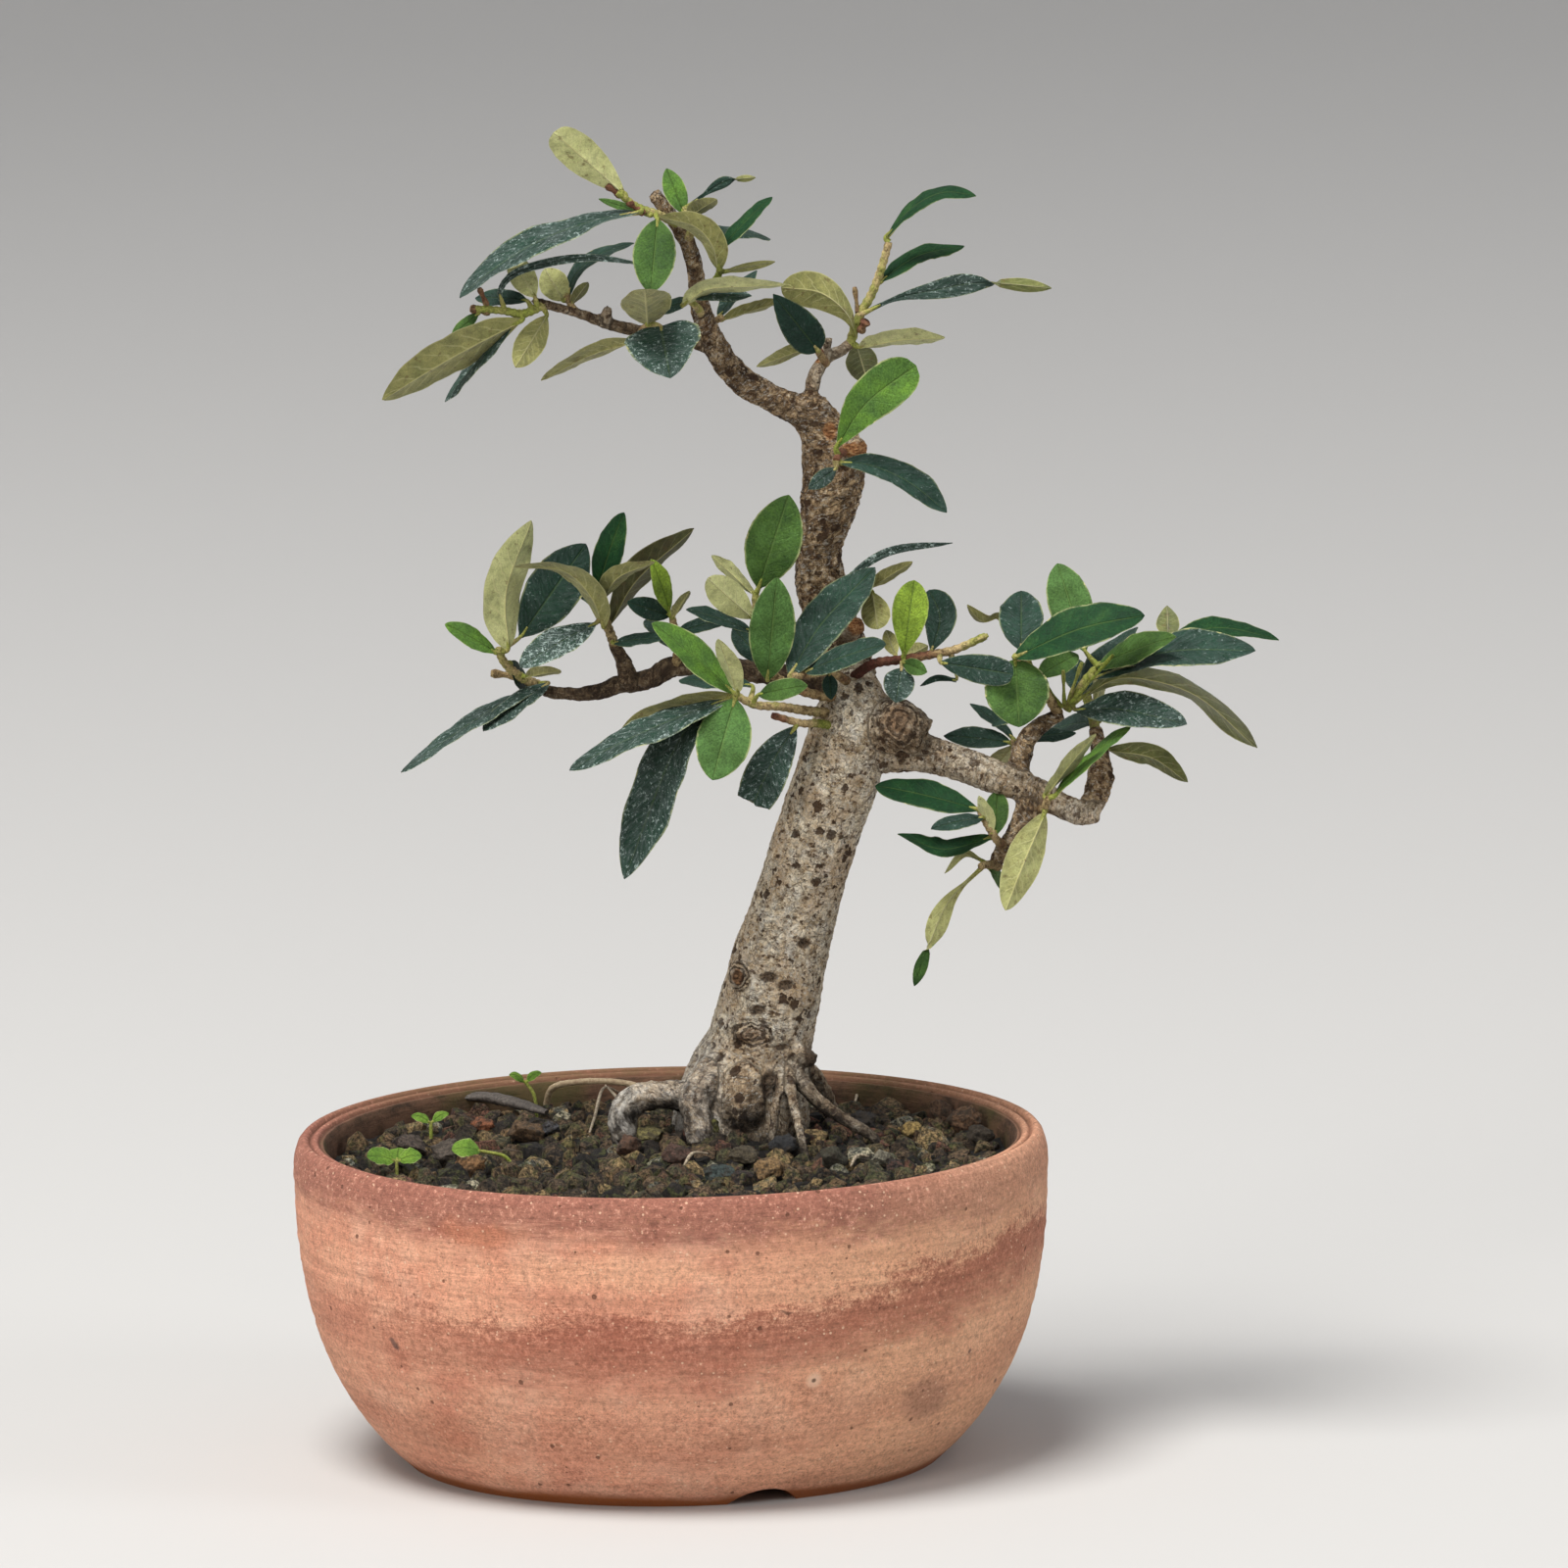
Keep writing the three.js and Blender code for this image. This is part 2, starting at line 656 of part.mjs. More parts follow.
  right_back_spray: {
    radius: 1,
    shoot: [[1118, 746, 12], [1114, 728, 18], [1108, 712, 24]],
    leaves: [
      [1130, 762, 1212, 797, 21, 16, 18, -1, [[1180, 766]]],
      [1116, 722, 1180, 728, 26, 20, 36, 1, []],
      [1112, 712, 1090, 672, 28, 24, 36, 1, []],
      [1122, 736, 1066, 748, 20, 18, 40, 1, []],
      [1116, 716, 1140, 664, 22, 24, 44, -1, []],
    ],
  },
  right_inner_spray: {
    radius: 0.8,
    shoot: [[1046, 770, 8], [1040, 762, 13], [1034, 757, 17]],
    leaves: [
      [1031, 758, 963, 751, 22, 18, 22, 1, []],
      [1034, 754, 990, 718, 12, 18, 26, 1, []],
      [1038, 756, 1098, 748, 14, 15, 18, 1, []],
      [1034, 760, 1010, 792, 20, 18, 32, -1, []],
    ],
  },
  low_front_spray: {
    radius: 0.9,
    shoot: [[1062, 826, 2], [1066, 824, -5], [1070, 814, -8]],
    leaves: [
      [1066, 829, 1026, 929, 37, -6, -10, -1, []],
      [1066, 812, 1118, 749, 14, -7, -10, -1, []],
      [1076, 812, 1154, 741, 13, -8, -4, 1, []],
    ],
  },
  low_spray: {
    radius: 0.9,
    shoot: [[1028, 864, 1], [1018, 858, -4], [1010, 846, -6], [1000, 828, -6]],
    leaves: [
      [1000, 827, 893, 802, 30, -6, -2, 1, []],
      [1004, 834, 950, 846, 16, -7, -14, 1, []],
      [1014, 854, 916, 851, 20, -5, -8, 1, [[962, 867]]],
      [1012, 850, 999, 812, 14, -6, -10, -1, []],
      [1016, 852, 1018, 808, 27, -3, 4, 1, []],
    ],
  },
  low_tip_spray: {
    radius: 0.9,
    shoot: [[1019, 884, 1], [1008, 882, -4], [1000, 884, -6]],
    leaves: [
      [1001, 886, 933, 1006, 22, -5, -2, -1, [[968, 920], [949, 962]]],
      [1003, 879, 964, 891, 8, -4, 4, -1, [[984, 871]]],
      [1008, 884, 1030, 914, 12, -3, 8, 1, []],
    ],
  },
};

const SPRAY_COLOURS = {
  dark: 0x36543f,
  bright: 0x5a8a3a,
};

const BRIGHT_SPRAYS = ['front_upper_spray', 'trunk_shoot_spray', 'low_front_spray', 'left_inner_spray'];

// A petiole starts inside its shoot, at the point of the shoot that lies nearest to the leaf's base.

function nearestOn(curve, point) {
  const places = curve.getSpacedPoints(24);
  return places.reduce((best, place) => (place.distanceTo(point) < best.distanceTo(point) ? place : best));
}

function bladeFrame(base, tip, seenWidth, face) {
  const along = tip.clone().sub(base);
  const length = along.length();
  along.normalize();
  const width = Math.max(seenWidth / VIEW.pixelsPerMm, length * LEAF.leastWidthByLength);
  const eye = camera.clone().sub(base).normalize();
  const facing = eye.addScaledVector(along, -eye.dot(along)).normalize();
  const turn = Math.acos(Math.min(1, seenWidth / VIEW.pixelsPerMm / width));
  const [one, other] = [turn, -turn].map((angle) => {
    return facing.clone().applyAxisAngle(along, angle).multiplyScalar(face);
  });
  const upper = one.z > other.z ? one : other;
  return { length, width, upper };
}

// The diagonals of a blade's quads run alike on its upper and under face, from edge to rib.

function splitBlade(a, b, c, d, side) {
  return side % 2 === 0 ? [a, b, c, a, c, d] : [a, b, d, b, c, d];
}

function leafBody(row, shootCurve, seed) {
  const [baseX, baseY, tipX, tipY, seenWidth, baseDepth, tipDepth, face, ribPixels] = row;
  const base = seen(baseX, baseY, baseDepth);
  const tip = seen(tipX, tipY, tipDepth);
  const rib = ribPixels.map(([px, py], place) => {
    const share = (place + 1) / (ribPixels.length + 1);
    return seen(px, py, THREE.MathUtils.lerp(baseDepth, tipDepth, share));
  });
  const root = nearestOn(shootCurve, base);
  const { length, width, upper } = bladeFrame(base, tip, seenWidth, face);
  if (root.distanceTo(base) < 1) root.copy(base).addScaledVector(tip.clone().sub(base).normalize(), -1);
  const spine = new THREE.CatmullRomCurve3([base, ...rib, tip], false, 'centripetal');
  const arch = ribPixels.length ? 0 : LEAF.arch * length;
  return solid(bladeLoft(root, spine, { length, width, upper, arch, seed }));
}

function bladeLoft(root, spine, { length, width, upper, arch, seed }) {
  const half = LEAF.ribThickness / 2;
  const start = spine.getPointAt(0);
  const rings = [bladeRing(root, start.clone().sub(root).normalize(), upper, LEAF.petioleWidth / 2, 0, half)];
  const random = randomFrom(seed);
  const phase = random() * Math.PI * 2;
  const stations = length < LEAF.smallLength ? SMALL_BLADE_STATIONS : BLADE_STATIONS;
  for (const { along, spread } of stations) {
    const centre = spine.getPointAt(along);
    const reach = Math.max((spread * width) / 2, LEAF.petioleWidth / 2);
    const wave = LEAF.wave * width * Math.sin(phase + along * 12) * spread;
    centre.addScaledVector(upper, arch * 4 * along * (1 - along));
    rings.push(bladeRing(centre, spine.getTangentAt(along), upper, reach, LEAF.fold * reach + wave, half));
  }
  const tip = spine.getPointAt(1);
  rings.push([tip, tip.clone(), tip.clone(), tip.clone()]);
  return loft(rings, splitBlade);
}

function bladeRing(centre, tangent, upper, reach, lift, half) {
  const across = new THREE.Vector3().crossVectors(tangent, upper).normalize();
  const normal = new THREE.Vector3().crossVectors(across, tangent).normalize();
  return [
    centre.clone().addScaledVector(across, -reach).addScaledVector(normal, lift),
    centre.clone().addScaledVector(normal, half),
    centre.clone().addScaledVector(across, reach).addScaledVector(normal, lift),
    centre.clone().addScaledVector(normal, -half),
  ];
}

function sprayBody({ radius, shoot, leaves }, clearOfWood, seed) {
  const points = shoot.map((point) => seen(...point));
  const curve = new THREE.CatmullRomCurve3(points, false, 'centripetal');
  const stem = limb(points, [radius, radius * 0.8], SHOOT_SIDES, shoot.length - 1);
  const blades = leaves.map((row, number) => leafBody(row, curve, seed * 100 + number));
  return largestPiece(joined([stem, ...blades]).subtract(clearOfWood));
}

// Soil: crushed lava, pumice and bark grit, heaped a little round the trunk. Its grains are relief.

function soilLevel(x, y) {
  const reach = Math.hypot(x - SOIL.moundX, y - SOIL.moundY) / SOIL.moundRadius;
  return SOIL.level + SOIL.mound * Math.exp(-reach * reach);
}

function grainBed() {
  const random = randomFrom(71);
  const edge = (POT.lipRadius - 8.1) * Math.cos(Math.PI / POT.sides) - GAP;
  const positions = [];
  const index = [];
  const starts = [0];
  const floor = 60;
  positions.push(0, 0, soilLevel(0, 0));
  for (let ring = 1; ring <= SOIL.rings; ring += 1) {
    starts.push(positions.length / 3);
    const count = ring * 6;
    for (let place = 0; place < count; place += 1) {
      const outermost = ring === SOIL.rings;
      const radius = (edge * ring) / SOIL.rings + (outermost ? 0 : (random() - 0.5) * 2.6);
      const angle = ((place + (random() - 0.5) * 0.5) / count) * Math.PI * 2;
      const x = radius * Math.cos(angle);
      const y = radius * Math.sin(angle);
      const relief = outermost ? -0.8 : (random() - 0.45) * 2 * SOIL.grainRelief;
      positions.push(x, y, soilLevel(x, y) + relief);
    }
  }
  for (let ring = 1; ring <= SOIL.rings; ring += 1) {
    const outer = ring * 6;
    const inner = (ring - 1) * 6;
    for (let sector = 0; sector < 6; sector += 1) {
      for (let step = 0; step < ring; step += 1) {
        const a = starts[ring] + sector * ring + step;
        const b = starts[ring] + ((sector * ring + step + 1) % outer);
        const c = starts[ring - 1] + (inner ? (sector * (ring - 1) + step) % inner : 0);
        index.push(a, b, c);
        if (step < ring - 1) {
          const d = starts[ring - 1] + ((sector * (ring - 1) + step + 1) % inner);
          index.push(b, d, c);
        }
      }
    }
  }
  const rim = starts[SOIL.rings];
  const rimCount = SOIL.rings * 6;
  const below = positions.length / 3;
  for (let place = 0; place < rimCount; place += 1) {
    positions.push(positions[(rim + place) * 3], positions[(rim + place) * 3 + 1], floor);
  }
  const middle = positions.length / 3;
  positions.push(0, 0, floor);
  for (let place = 0; place < rimCount; place += 1) {
    const next = (place + 1) % rimCount;
    index.push(rim + place, below + place, below + next);
    index.push(rim + place, below + next, rim + next);
    index.push(below + place, middle, below + next);
  }
  const geometry = new THREE.BufferGeometry();
  geometry.setAttribute('position', new THREE.Float32BufferAttribute(positions, 3));
  geometry.setIndex(index);
  return solid(geometry);
}

function pebble(x, y, size, random) {
  const stone = new THREE.IcosahedronGeometry(size, 0);
  stone.scale(0.8 + random() * 0.5, 0.8 + random() * 0.5, 0.6 + random() * 0.4);
  stone.rotateX(random() * 3);
  stone.rotateZ(random() * 3);
  stone.translate(x, y, soilLevel(x, y) + size * 0.25);
  return solid(stone);
}

// Stones that stand out of the grit, at the pixels where they show, with their radii in millimetres.

const STONES = [
  [662, 1160, 3.2], [725, 1153, 3.2], [783, 1198, 3.4], [735, 1203, 3.6], [900, 1186, 2.8], [930, 1157, 2.8],
  [480, 1195, 3.6], [799, 1172, 3.4], [420, 1176, 3],
];

function soilBody(keepOut) {
  const filling = [
    [0, POT.floorTop + GAP],
    [46, POT.floorTop + GAP],
    ...potInner.slice(1, -1).reverse().map(([radius, height]) => [radius - GAP * 1.5, height + GAP]),
    [POT.lipRadius - 9, 66],
    [0, 66],
  ].map(([radius, height]) => new THREE.Vector2(radius, height));
  const random = randomFrom(9);
  const stones = STONES.map(([px, py, size]) => {
    const spot = seenAtHeight(px, py, SOIL.level + 1.5);
    return pebble(spot.x, spot.y, size, random);
  });
  const bed = joined([solid(uprightLathe(filling)), grainBed(), ...stones]);
  return largestPiece(bed.subtract(keepOut));
}

// Weeds and a dead grass stem: each stands or ends in a hole in the soil.

const WEEDS = {
  seedling_left: {
    foot: [405, 1197], radius: 0.5, top: [0, 0, 3.4],
    leaves: [[-6.8, -0.8, 4.6, 6.4], [5.8, 1.4, 4.2, 5], [0.6, 6, 4.8, 4.4]],
  },
  seedling_middle: {
    foot: [526, 1193], radius: 0.5, top: [-7.4, -0.5, 4.6],
    leaves: [[-14.6, -0.9, 5.2, 6.4]],
  },
  seedling_back: {
    foot: [548, 1136], radius: 0.5, top: [-2.6, 0.5, 7.4],
    leaves: [[-6.4, -0.6, 9.4, 3.2], [1.2, 0.8, 9.6, 2.8]],
  },
  seedling_far_left: {
    foot: [440, 1162], radius: 0.5, top: [0, 0, 3.8],
    leaves: [[-4.6, 0.8, 5.4, 3.2], [4.2, 1, 5.8, 3]],
  },
};

const DRY_STEM = {
  radius: 0.75,
  points: [
    [556, 1136, -2.5], [564, 1110, 4.5], [590, 1104, 6], [628, 1104, 6], [656, 1110, 4.5], [668, 1128, -2.5],
  ],
};

function weedParts({ foot, radius, top }) {
  const ground = seenAtHeight(...foot, SOIL.level);
  ground.z = soilLevel(ground.x, ground.y);
  const points = [
    ground.clone().add(new THREE.Vector3(0, 0, -3)),
    ground.clone().add(new THREE.Vector3(top[0] * 0.25, top[1] * 0.25, top[2] * 0.6)),
    ground.clone().add(new THREE.Vector3(...top)),
  ];
  return { ground, points, stalk: (grow) => limb(points, [radius, radius], SHOOT_SIDES, 2, grow) };
}

function weedBody(weed, seed) {
  const { ground, points, stalk } = weedParts(weed);
  const head = points[2];
  const blades = weed.leaves.map(([x, y, z, width], number) => {
    const tip = ground.clone().add(new THREE.Vector3(x, y, z));
    const spine = new THREE.CatmullRomCurve3([head.clone().lerp(tip, 0.18), tip]);
    const length = head.distanceTo(tip);
    const upper = new THREE.Vector3(0, 0, 1);
    return solid(bladeLoft(head, spine, { length, width, upper, arch: 0, seed: seed + number }));
  });
  return joined([stalk(0), ...blades]);
}

function dryStemBody(grow) {
  const points = DRY_STEM.points.map(([px, py, lift]) => seenAtHeight(px, py, SOIL.level + lift));
  return limb(points, [DRY_STEM.radius, DRY_STEM.radius], SHOOT_SIDES, 9, grow);
}

// The whole

const plant = new THREE.Group();
const clearOfWood = woodBody(GAP);
const stalks = Object.values(WEEDS).map((weed) => weedParts(weed).stalk(GAP));

addMesh(plant, 'pot', potBody(), 0xc0805c, 0.9);
addMesh(plant, 'soil', soilBody(joined([clearOfWood, dryStemBody(GAP), ...stalks])), 0x3d2f26, 1);
addMesh(plant, 'wood', largestPiece(woodBody(0)), 0x8b7a68, 0.9);
Object.entries(SPRAYS).forEach(([name, spray], number) => {
  const colour = BRIGHT_SPRAYS.includes(name) ? SPRAY_COLOURS.bright : SPRAY_COLOURS.dark;
  addMesh(plant, name, sprayBody(spray, clearOfWood, number + 1), colour, 0.6);
});
Object.entries(WEEDS).forEach(([name, weed], number) => {
  addMesh(plant, name, weedBody(weed, 500 + number * 10), 0x6f8f3c, 0.6);
});
addMesh(plant, 'dry_stem', dryStemBody(0), 0xa89070, 0.9);

const box = new THREE.Box3().setFromObject(plant);
const middle = box.getCenter(new THREE.Vector3());
plant.position.set(-middle.x, -middle.y, 0);

const group = new THREE.Group();
group.add(plant);
export default group;
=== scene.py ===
"""A small Himalayan cotoneaster grown as a bonsai, in grit, in a round earthenware bowl."""

import math
import random

import bmesh
import bpy
import numpy as np
from mathutils import Matrix, Quaternion, Vector, noise


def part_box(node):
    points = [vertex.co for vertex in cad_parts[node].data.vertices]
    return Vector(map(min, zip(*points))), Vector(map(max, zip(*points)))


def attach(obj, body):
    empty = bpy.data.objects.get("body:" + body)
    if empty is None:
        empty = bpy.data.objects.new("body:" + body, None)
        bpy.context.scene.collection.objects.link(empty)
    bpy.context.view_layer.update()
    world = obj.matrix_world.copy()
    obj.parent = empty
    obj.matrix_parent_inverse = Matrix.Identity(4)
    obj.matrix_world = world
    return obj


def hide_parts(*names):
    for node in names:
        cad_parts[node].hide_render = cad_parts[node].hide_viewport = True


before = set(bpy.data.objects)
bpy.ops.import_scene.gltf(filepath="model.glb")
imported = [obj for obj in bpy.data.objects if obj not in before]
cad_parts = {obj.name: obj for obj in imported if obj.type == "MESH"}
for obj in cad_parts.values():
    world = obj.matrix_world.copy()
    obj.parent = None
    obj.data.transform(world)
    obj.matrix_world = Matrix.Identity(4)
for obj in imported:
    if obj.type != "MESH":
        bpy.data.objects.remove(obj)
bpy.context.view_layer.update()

# View
# The plant is looked at from far off, a little above the rim of the bowl, with the camera rolled
# slightly. Branches and leaves are placed by the pixel that they show at in a square picture of
# 1600 pixels, and by their depth in millimetres behind the bowl's axis.

PICTURE_PIXELS = 1600
PIXELS_PER_METRE = 4410
VIEW_DISTANCE = 3.0
VIEW_ELEVATION = math.radians(8.8)
VIEW_ROLL = math.radians(0.85)
SENSOR_WIDTH = 36
MM = 0.001

bowl_low, bowl_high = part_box("pot")
bowl_axis = Vector(((bowl_low.x + bowl_high.x) / 2, (bowl_low.y + bowl_high.y) / 2, 0))
view_aim = bowl_axis + Vector((0.0276, 0, 0.157))
to_viewer = Vector((0, -math.cos(VIEW_ELEVATION), math.sin(VIEW_ELEVATION)))
view_right = Quaternion(to_viewer, -VIEW_ROLL) @ Vector((1, 0, 0))
view_up = to_viewer.cross(view_right)
viewer = view_aim + to_viewer * VIEW_DISTANCE
focal_pixels = VIEW_DISTANCE * PIXELS_PER_METRE


def sight_line(px, py):
    middle = PICTURE_PIXELS / 2
    return view_right * (px - middle) + view_up * (middle - py) - to_viewer * focal_pixels


def seen(px, py, depth):
    """The point that shows at a pixel, at a depth in millimetres behind the bowl's axis."""
    line = sight_line(px, py)
    return viewer + line * ((bowl_axis.y + depth * MM - viewer.y) / line.y)


def seen_at_height(px, py, height):
    """The point that shows at a pixel, at a height in metres above the table."""
    line = sight_line(px, py)
    return viewer + line * ((height - viewer.z) / line.z)


camera_data = bpy.data.cameras.new("camera")
camera_data.sensor_width = SENSOR_WIDTH
camera_data.lens = focal_pixels / PICTURE_PIXELS * SENSOR_WIDTH
camera_data.clip_end = 100
camera = bpy.data.objects.new("camera", camera_data)
bpy.context.scene.collection.objects.link(camera)
camera.matrix_world = Matrix.Translation(viewer) @ Matrix(
    (view_right, view_up, to_viewer)
).transposed().to_4x4()
bpy.context.scene.camera = camera

# Bowl
# One wheel-thrown, unglazed earthenware bowl with a rounded lip and a trimmed foot ring. Three arched
# notches are cut through the foot, and a drain hole through the floor. The fire left it banded.

BOWL_TURNS = 288
BOWL_LIP = (bowl_high.x - bowl_low.x) / 2 / MM
BOWL_HEIGHT = bowl_high.z / MM
FOOT_RADIUS = 62.3
FOOT_INNER_RADIUS = 51
FOOT_HEIGHT = 3.4
FLOOR_TOP = 10.5
DRAIN_RADIUS = 7
NOTCHES = 3
NOTCH_RADIUS = 11
NOTCH_RISE = 3.9
NOTCH_LENGTH = 28
NOTCH_DIRECTION = math.radians(-71)
NOTCH_SIDES = 48
THROWING_RIDGE = 0.22
WALL_ROWS = 90
LIP_ROWS = 44
INSIDE_ROWS = 40
GROOVE_SHADE_WIDTH = 0.55

# The lip runs over two turned grooves: how far each point lies inside the widest line of the bowl,
# and how far below the top.
BOWL_LIP_TOP = [(BOWL_LIP - inward, BOWL_HEIGHT - below) for inward, below in (
    (0.9, 1.4), (2.1, 0.1), (3.0, 0.2), (3.8, 1.3), (4.7, 0.6), (5.5, 0.8), (6.1, 1.8), (6.7, 1.5),
    (7.3, 2.7), (7.6, 4.6),
)]
LIP_GROOVES = (BOWL_LIP - 3.8, BOWL_LIP - 6.1)
BOWL_OUTSIDE = [
    (FOOT_RADIUS, 0), (66.8, 4.2), (71.2, 9.2), (75.9, 16), (80.9, 26), (84.8, 39), (86.9, 53),
    (BOWL_LIP, 64), (BOWL_LIP, 71.5), BOWL_LIP_TOP[0],
]
BOWL_INSIDE = [BOWL_LIP_TOP[-1], (79.3, 55), (76.6, 36), (70.5, 22), (60, 13.2), (46, FLOOR_TOP)]
# The middle of the wall's thickness: its radius at each height, which parts the inside from the outside.
WALL_HEIGHTS = [0, 12, 22, 36, 55, 70, 73.5, 76.5]
WALL_MIDDLES = [40, 58, 73, 79, 82.4, 83.4, 82.6, 79]

# A fire mark's row: pixel at its middle, half width and half height in millimetres, strength, colour.
FIRE_MARKS = [
    (490, 1262, 13, 4, 0.55, (0.44, 0.15, 0.08)), (945, 1426, 8, 7, 0.5, (0.24, 0.12, 0.08)),
    (757, 1475, 11, 3, 0.4, (0.34, 0.15, 0.09)), (450, 1466, 12, 9, 0.45, (0.42, 0.17, 0.1)),
    (402, 1370, 1.3, 0.8, 0.8, (0.1, 0.06, 0.05)), (805, 1342, 2.2, 0.6, 0.8, (0.12, 0.06, 0.04)),
    (987, 1377, 1, 0.8, 0.8, (0.1, 0.06, 0.05)), (1015, 1410, 1, 1, 0.8, (0.1, 0.06, 0.05)),
    (620, 1300, 30, 5, 0.35, (0.72, 0.42, 0.26)),
]
LIME_BURST = (830, 1408)


def smooth_path(points, count, steps_between=14):
    """A smooth curve through the points, as evenly spaced points."""
    knots = np.array([tuple(point) for point in points], float)
    knots = np.vstack([2 * knots[0] - knots[1], knots, 2 * knots[-1] - knots[-2]])
    dense = []
    for a, b, c, d in zip(knots, knots[1:], knots[2:], knots[3:]):
        ta = 0.0
        tb = ta + math.sqrt(np.linalg.norm(b - a) + 1e-12)
        tc = tb + math.sqrt(np.linalg.norm(c - b) + 1e-12)
        td = tc + math.sqrt(np.linalg.norm(d - c) + 1e-12)
        t = np.linspace(tb, tc, steps_between, endpoint=False)[:, None]
        ab = ((tb - t) * a + (t - ta) * b) / (tb - ta)
        bc = ((tc - t) * b + (t - tb) * c) / (tc - tb)
        cd = ((td - t) * c + (t - tc) * d) / (td - tc)
        abc = ((tc - t) * ab + (t - ta) * bc) / (tc - ta)
        bcd = ((td - t) * bc + (t - tb) * cd) / (td - tb)
        dense.append(((tc - t) * abc + (t - tb) * bcd) / (tc - tb))
    dense = np.vstack([*dense, knots[-2]])
    reach = np.concatenate([[0], np.cumsum(np.linalg.norm(np.diff(dense, axis=0), axis=1))])
    places = np.linspace(0, reach[-1], count)
    return np.column_stack([np.interp(places, reach, column) for column in dense.T])


def new_piece(name, points, faces, materials):
    mesh = bpy.data.meshes.new(name)
    mesh.from_pydata([tuple(point) for point in points], [], [tuple(face) for face in faces])
    for material in materials:
        mesh.materials.append(material)
    piece = bpy.data.objects.new(name, mesh)
    bpy.context.scene.collection.objects.link(piece)
    return piece


def turned(profile, turns):
    """A closed profile of radii and heights in millimetres, turned round the bowl's axis."""
    points = []
    for step in range(turns):
        angle = step / turns * 2 * math.pi
        across = Vector((math.cos(angle), math.sin(angle), 0))
        for radius, height in profile:
            points.append(bowl_axis + across * radius * MM + Vector((0, 0, height * MM)))
    rows = len(profile)
    faces = []
    for step in range(turns):
        near, far = step * rows, (step + 1) % turns * rows
        for row in range(rows):
            above = (row + 1) % rows
            faces.append((near + row, far + row, far + above, near + above))
    return points, faces


def shade_smooth(piece, sharp_angle):
    piece.data.polygons.foreach_set("use_smooth", [True] * len(piece.data.polygons))
    piece.data.set_sharp_from_angle(angle=math.radians(sharp_angle))


def baked(piece):
    """Puts the result of a piece's modifiers in its mesh."""
    evaluated = piece.evaluated_get(bpy.context.evaluated_depsgraph_get())
    result = bpy.data.meshes.new_from_object(evaluated)
    piece.modifiers.clear()
    piece.data = result
    return piece


def set_vectors(piece, name, values):
    """Stores three numbers for each of a piece's points, under a name that its material reads."""
    attribute = piece.data.attributes.new(name, "FLOAT_VECTOR", "POINT")
    attribute.data.foreach_set("vector", np.array(values, np.float32).ravel())


def set_shares(piece, **shares):
    """Stores single numbers in the same way."""
    for name, values in shares.items():
        attribute = piece.data.attributes.new(name, "FLOAT", "POINT")
        attribute.data.foreach_set("value", np.array(values, np.float32))


def node(tree, kind, inputs=None, **settings):
    made = tree.nodes.new(kind)
    for name, value in settings.items():
        setattr(made, name, value)
    for name, value in (inputs or {}).items():
        if isinstance(value, bpy.types.NodeSocket):
            tree.links.new(value, made.inputs[name])
        else:
            made.inputs[name].default_value = value
    return made


def sums(tree, operation, first, second=0.0, third=0.0):
    inputs = {0: first, 1: second, 2: third}
    return node(tree, "ShaderNodeMath", inputs, operation=operation).outputs[0]


def times(tree, first, second):
    return sums(tree, "MULTIPLY", first, second)


def plus(tree, first, second):
    return sums(tree, "ADD", first, second)


def layered(tree, first, *others):
    """The sum of heights, each given with its amount."""
    total = times(tree, *first)
    for height, amount in others:
        total = sums(tree, "MULTIPLY_ADD", height, amount, total)
    return total


def ramp(tree, factor, stops):
    """Colours or greys along a factor; a stop is (place, grey) or (place, red, green, blue)."""
    made = node(tree, "ShaderNodeValToRGB", {"Fac": factor})
    elements = made.color_ramp.elements
    while len(elements) < len(stops):
        elements.new(1)
    for element, (place, *colour) in zip(elements, stops):
        element.position = place
        element.color = (*(colour if len(colour) == 3 else colour * 3), 1)
    return made.outputs["Color"]


def blended(tree, factor, first, second, mode="MIX"):
    made = node(tree, "ShaderNodeMix", data_type="RGBA", blend_type=mode)
    for place, value in ((0, factor), (6, first), (7, second)):
        if isinstance(value, bpy.types.NodeSocket):
            tree.links.new(value, made.inputs[place])
        else:
            made.inputs[place].default_value = value if place == 0 else (*value, 1)
    return made.outputs[2]


def marked(tree, colour, mask, strength, tone):
    """A colour with another laid over it where a mask says so."""
    return blended(tree, times(tree, mask, strength), colour, tone)


def shaded(tree, colour, strength, factor, stops):
    """A colour made darker and lighter along a factor."""
    return blended(tree, strength, colour, ramp(tree, factor, stops), "MULTIPLY")


def object_place(tree):
    return node(tree, "ShaderNodeTexCoord").outputs["Object"]


def carried(tree, name, output="Fac"):
    """A value that the mesh carries at each of its points."""
    return node(tree, "ShaderNodeAttribute", attribute_name=name).outputs[output]


def spread(tree, place, size_mm, detail=3, roughness=0.55, squeeze=(1, 1, 1), shift=(0, 0, 0)):
    """Noise whose features are about size_mm across, squeezed along the axes."""
    scale = [1 / (size_mm * MM) * amount for amount in squeeze]
    mapped = node(tree, "ShaderNodeMapping", {"Vector": place, "Location": shift, "Scale": scale})
    inputs = {"Vector": mapped.outputs[0], "Scale": 1.0, "Detail": detail, "Roughness": roughness}
    return node(tree, "ShaderNodeTexNoise", inputs).outputs["Fac"]


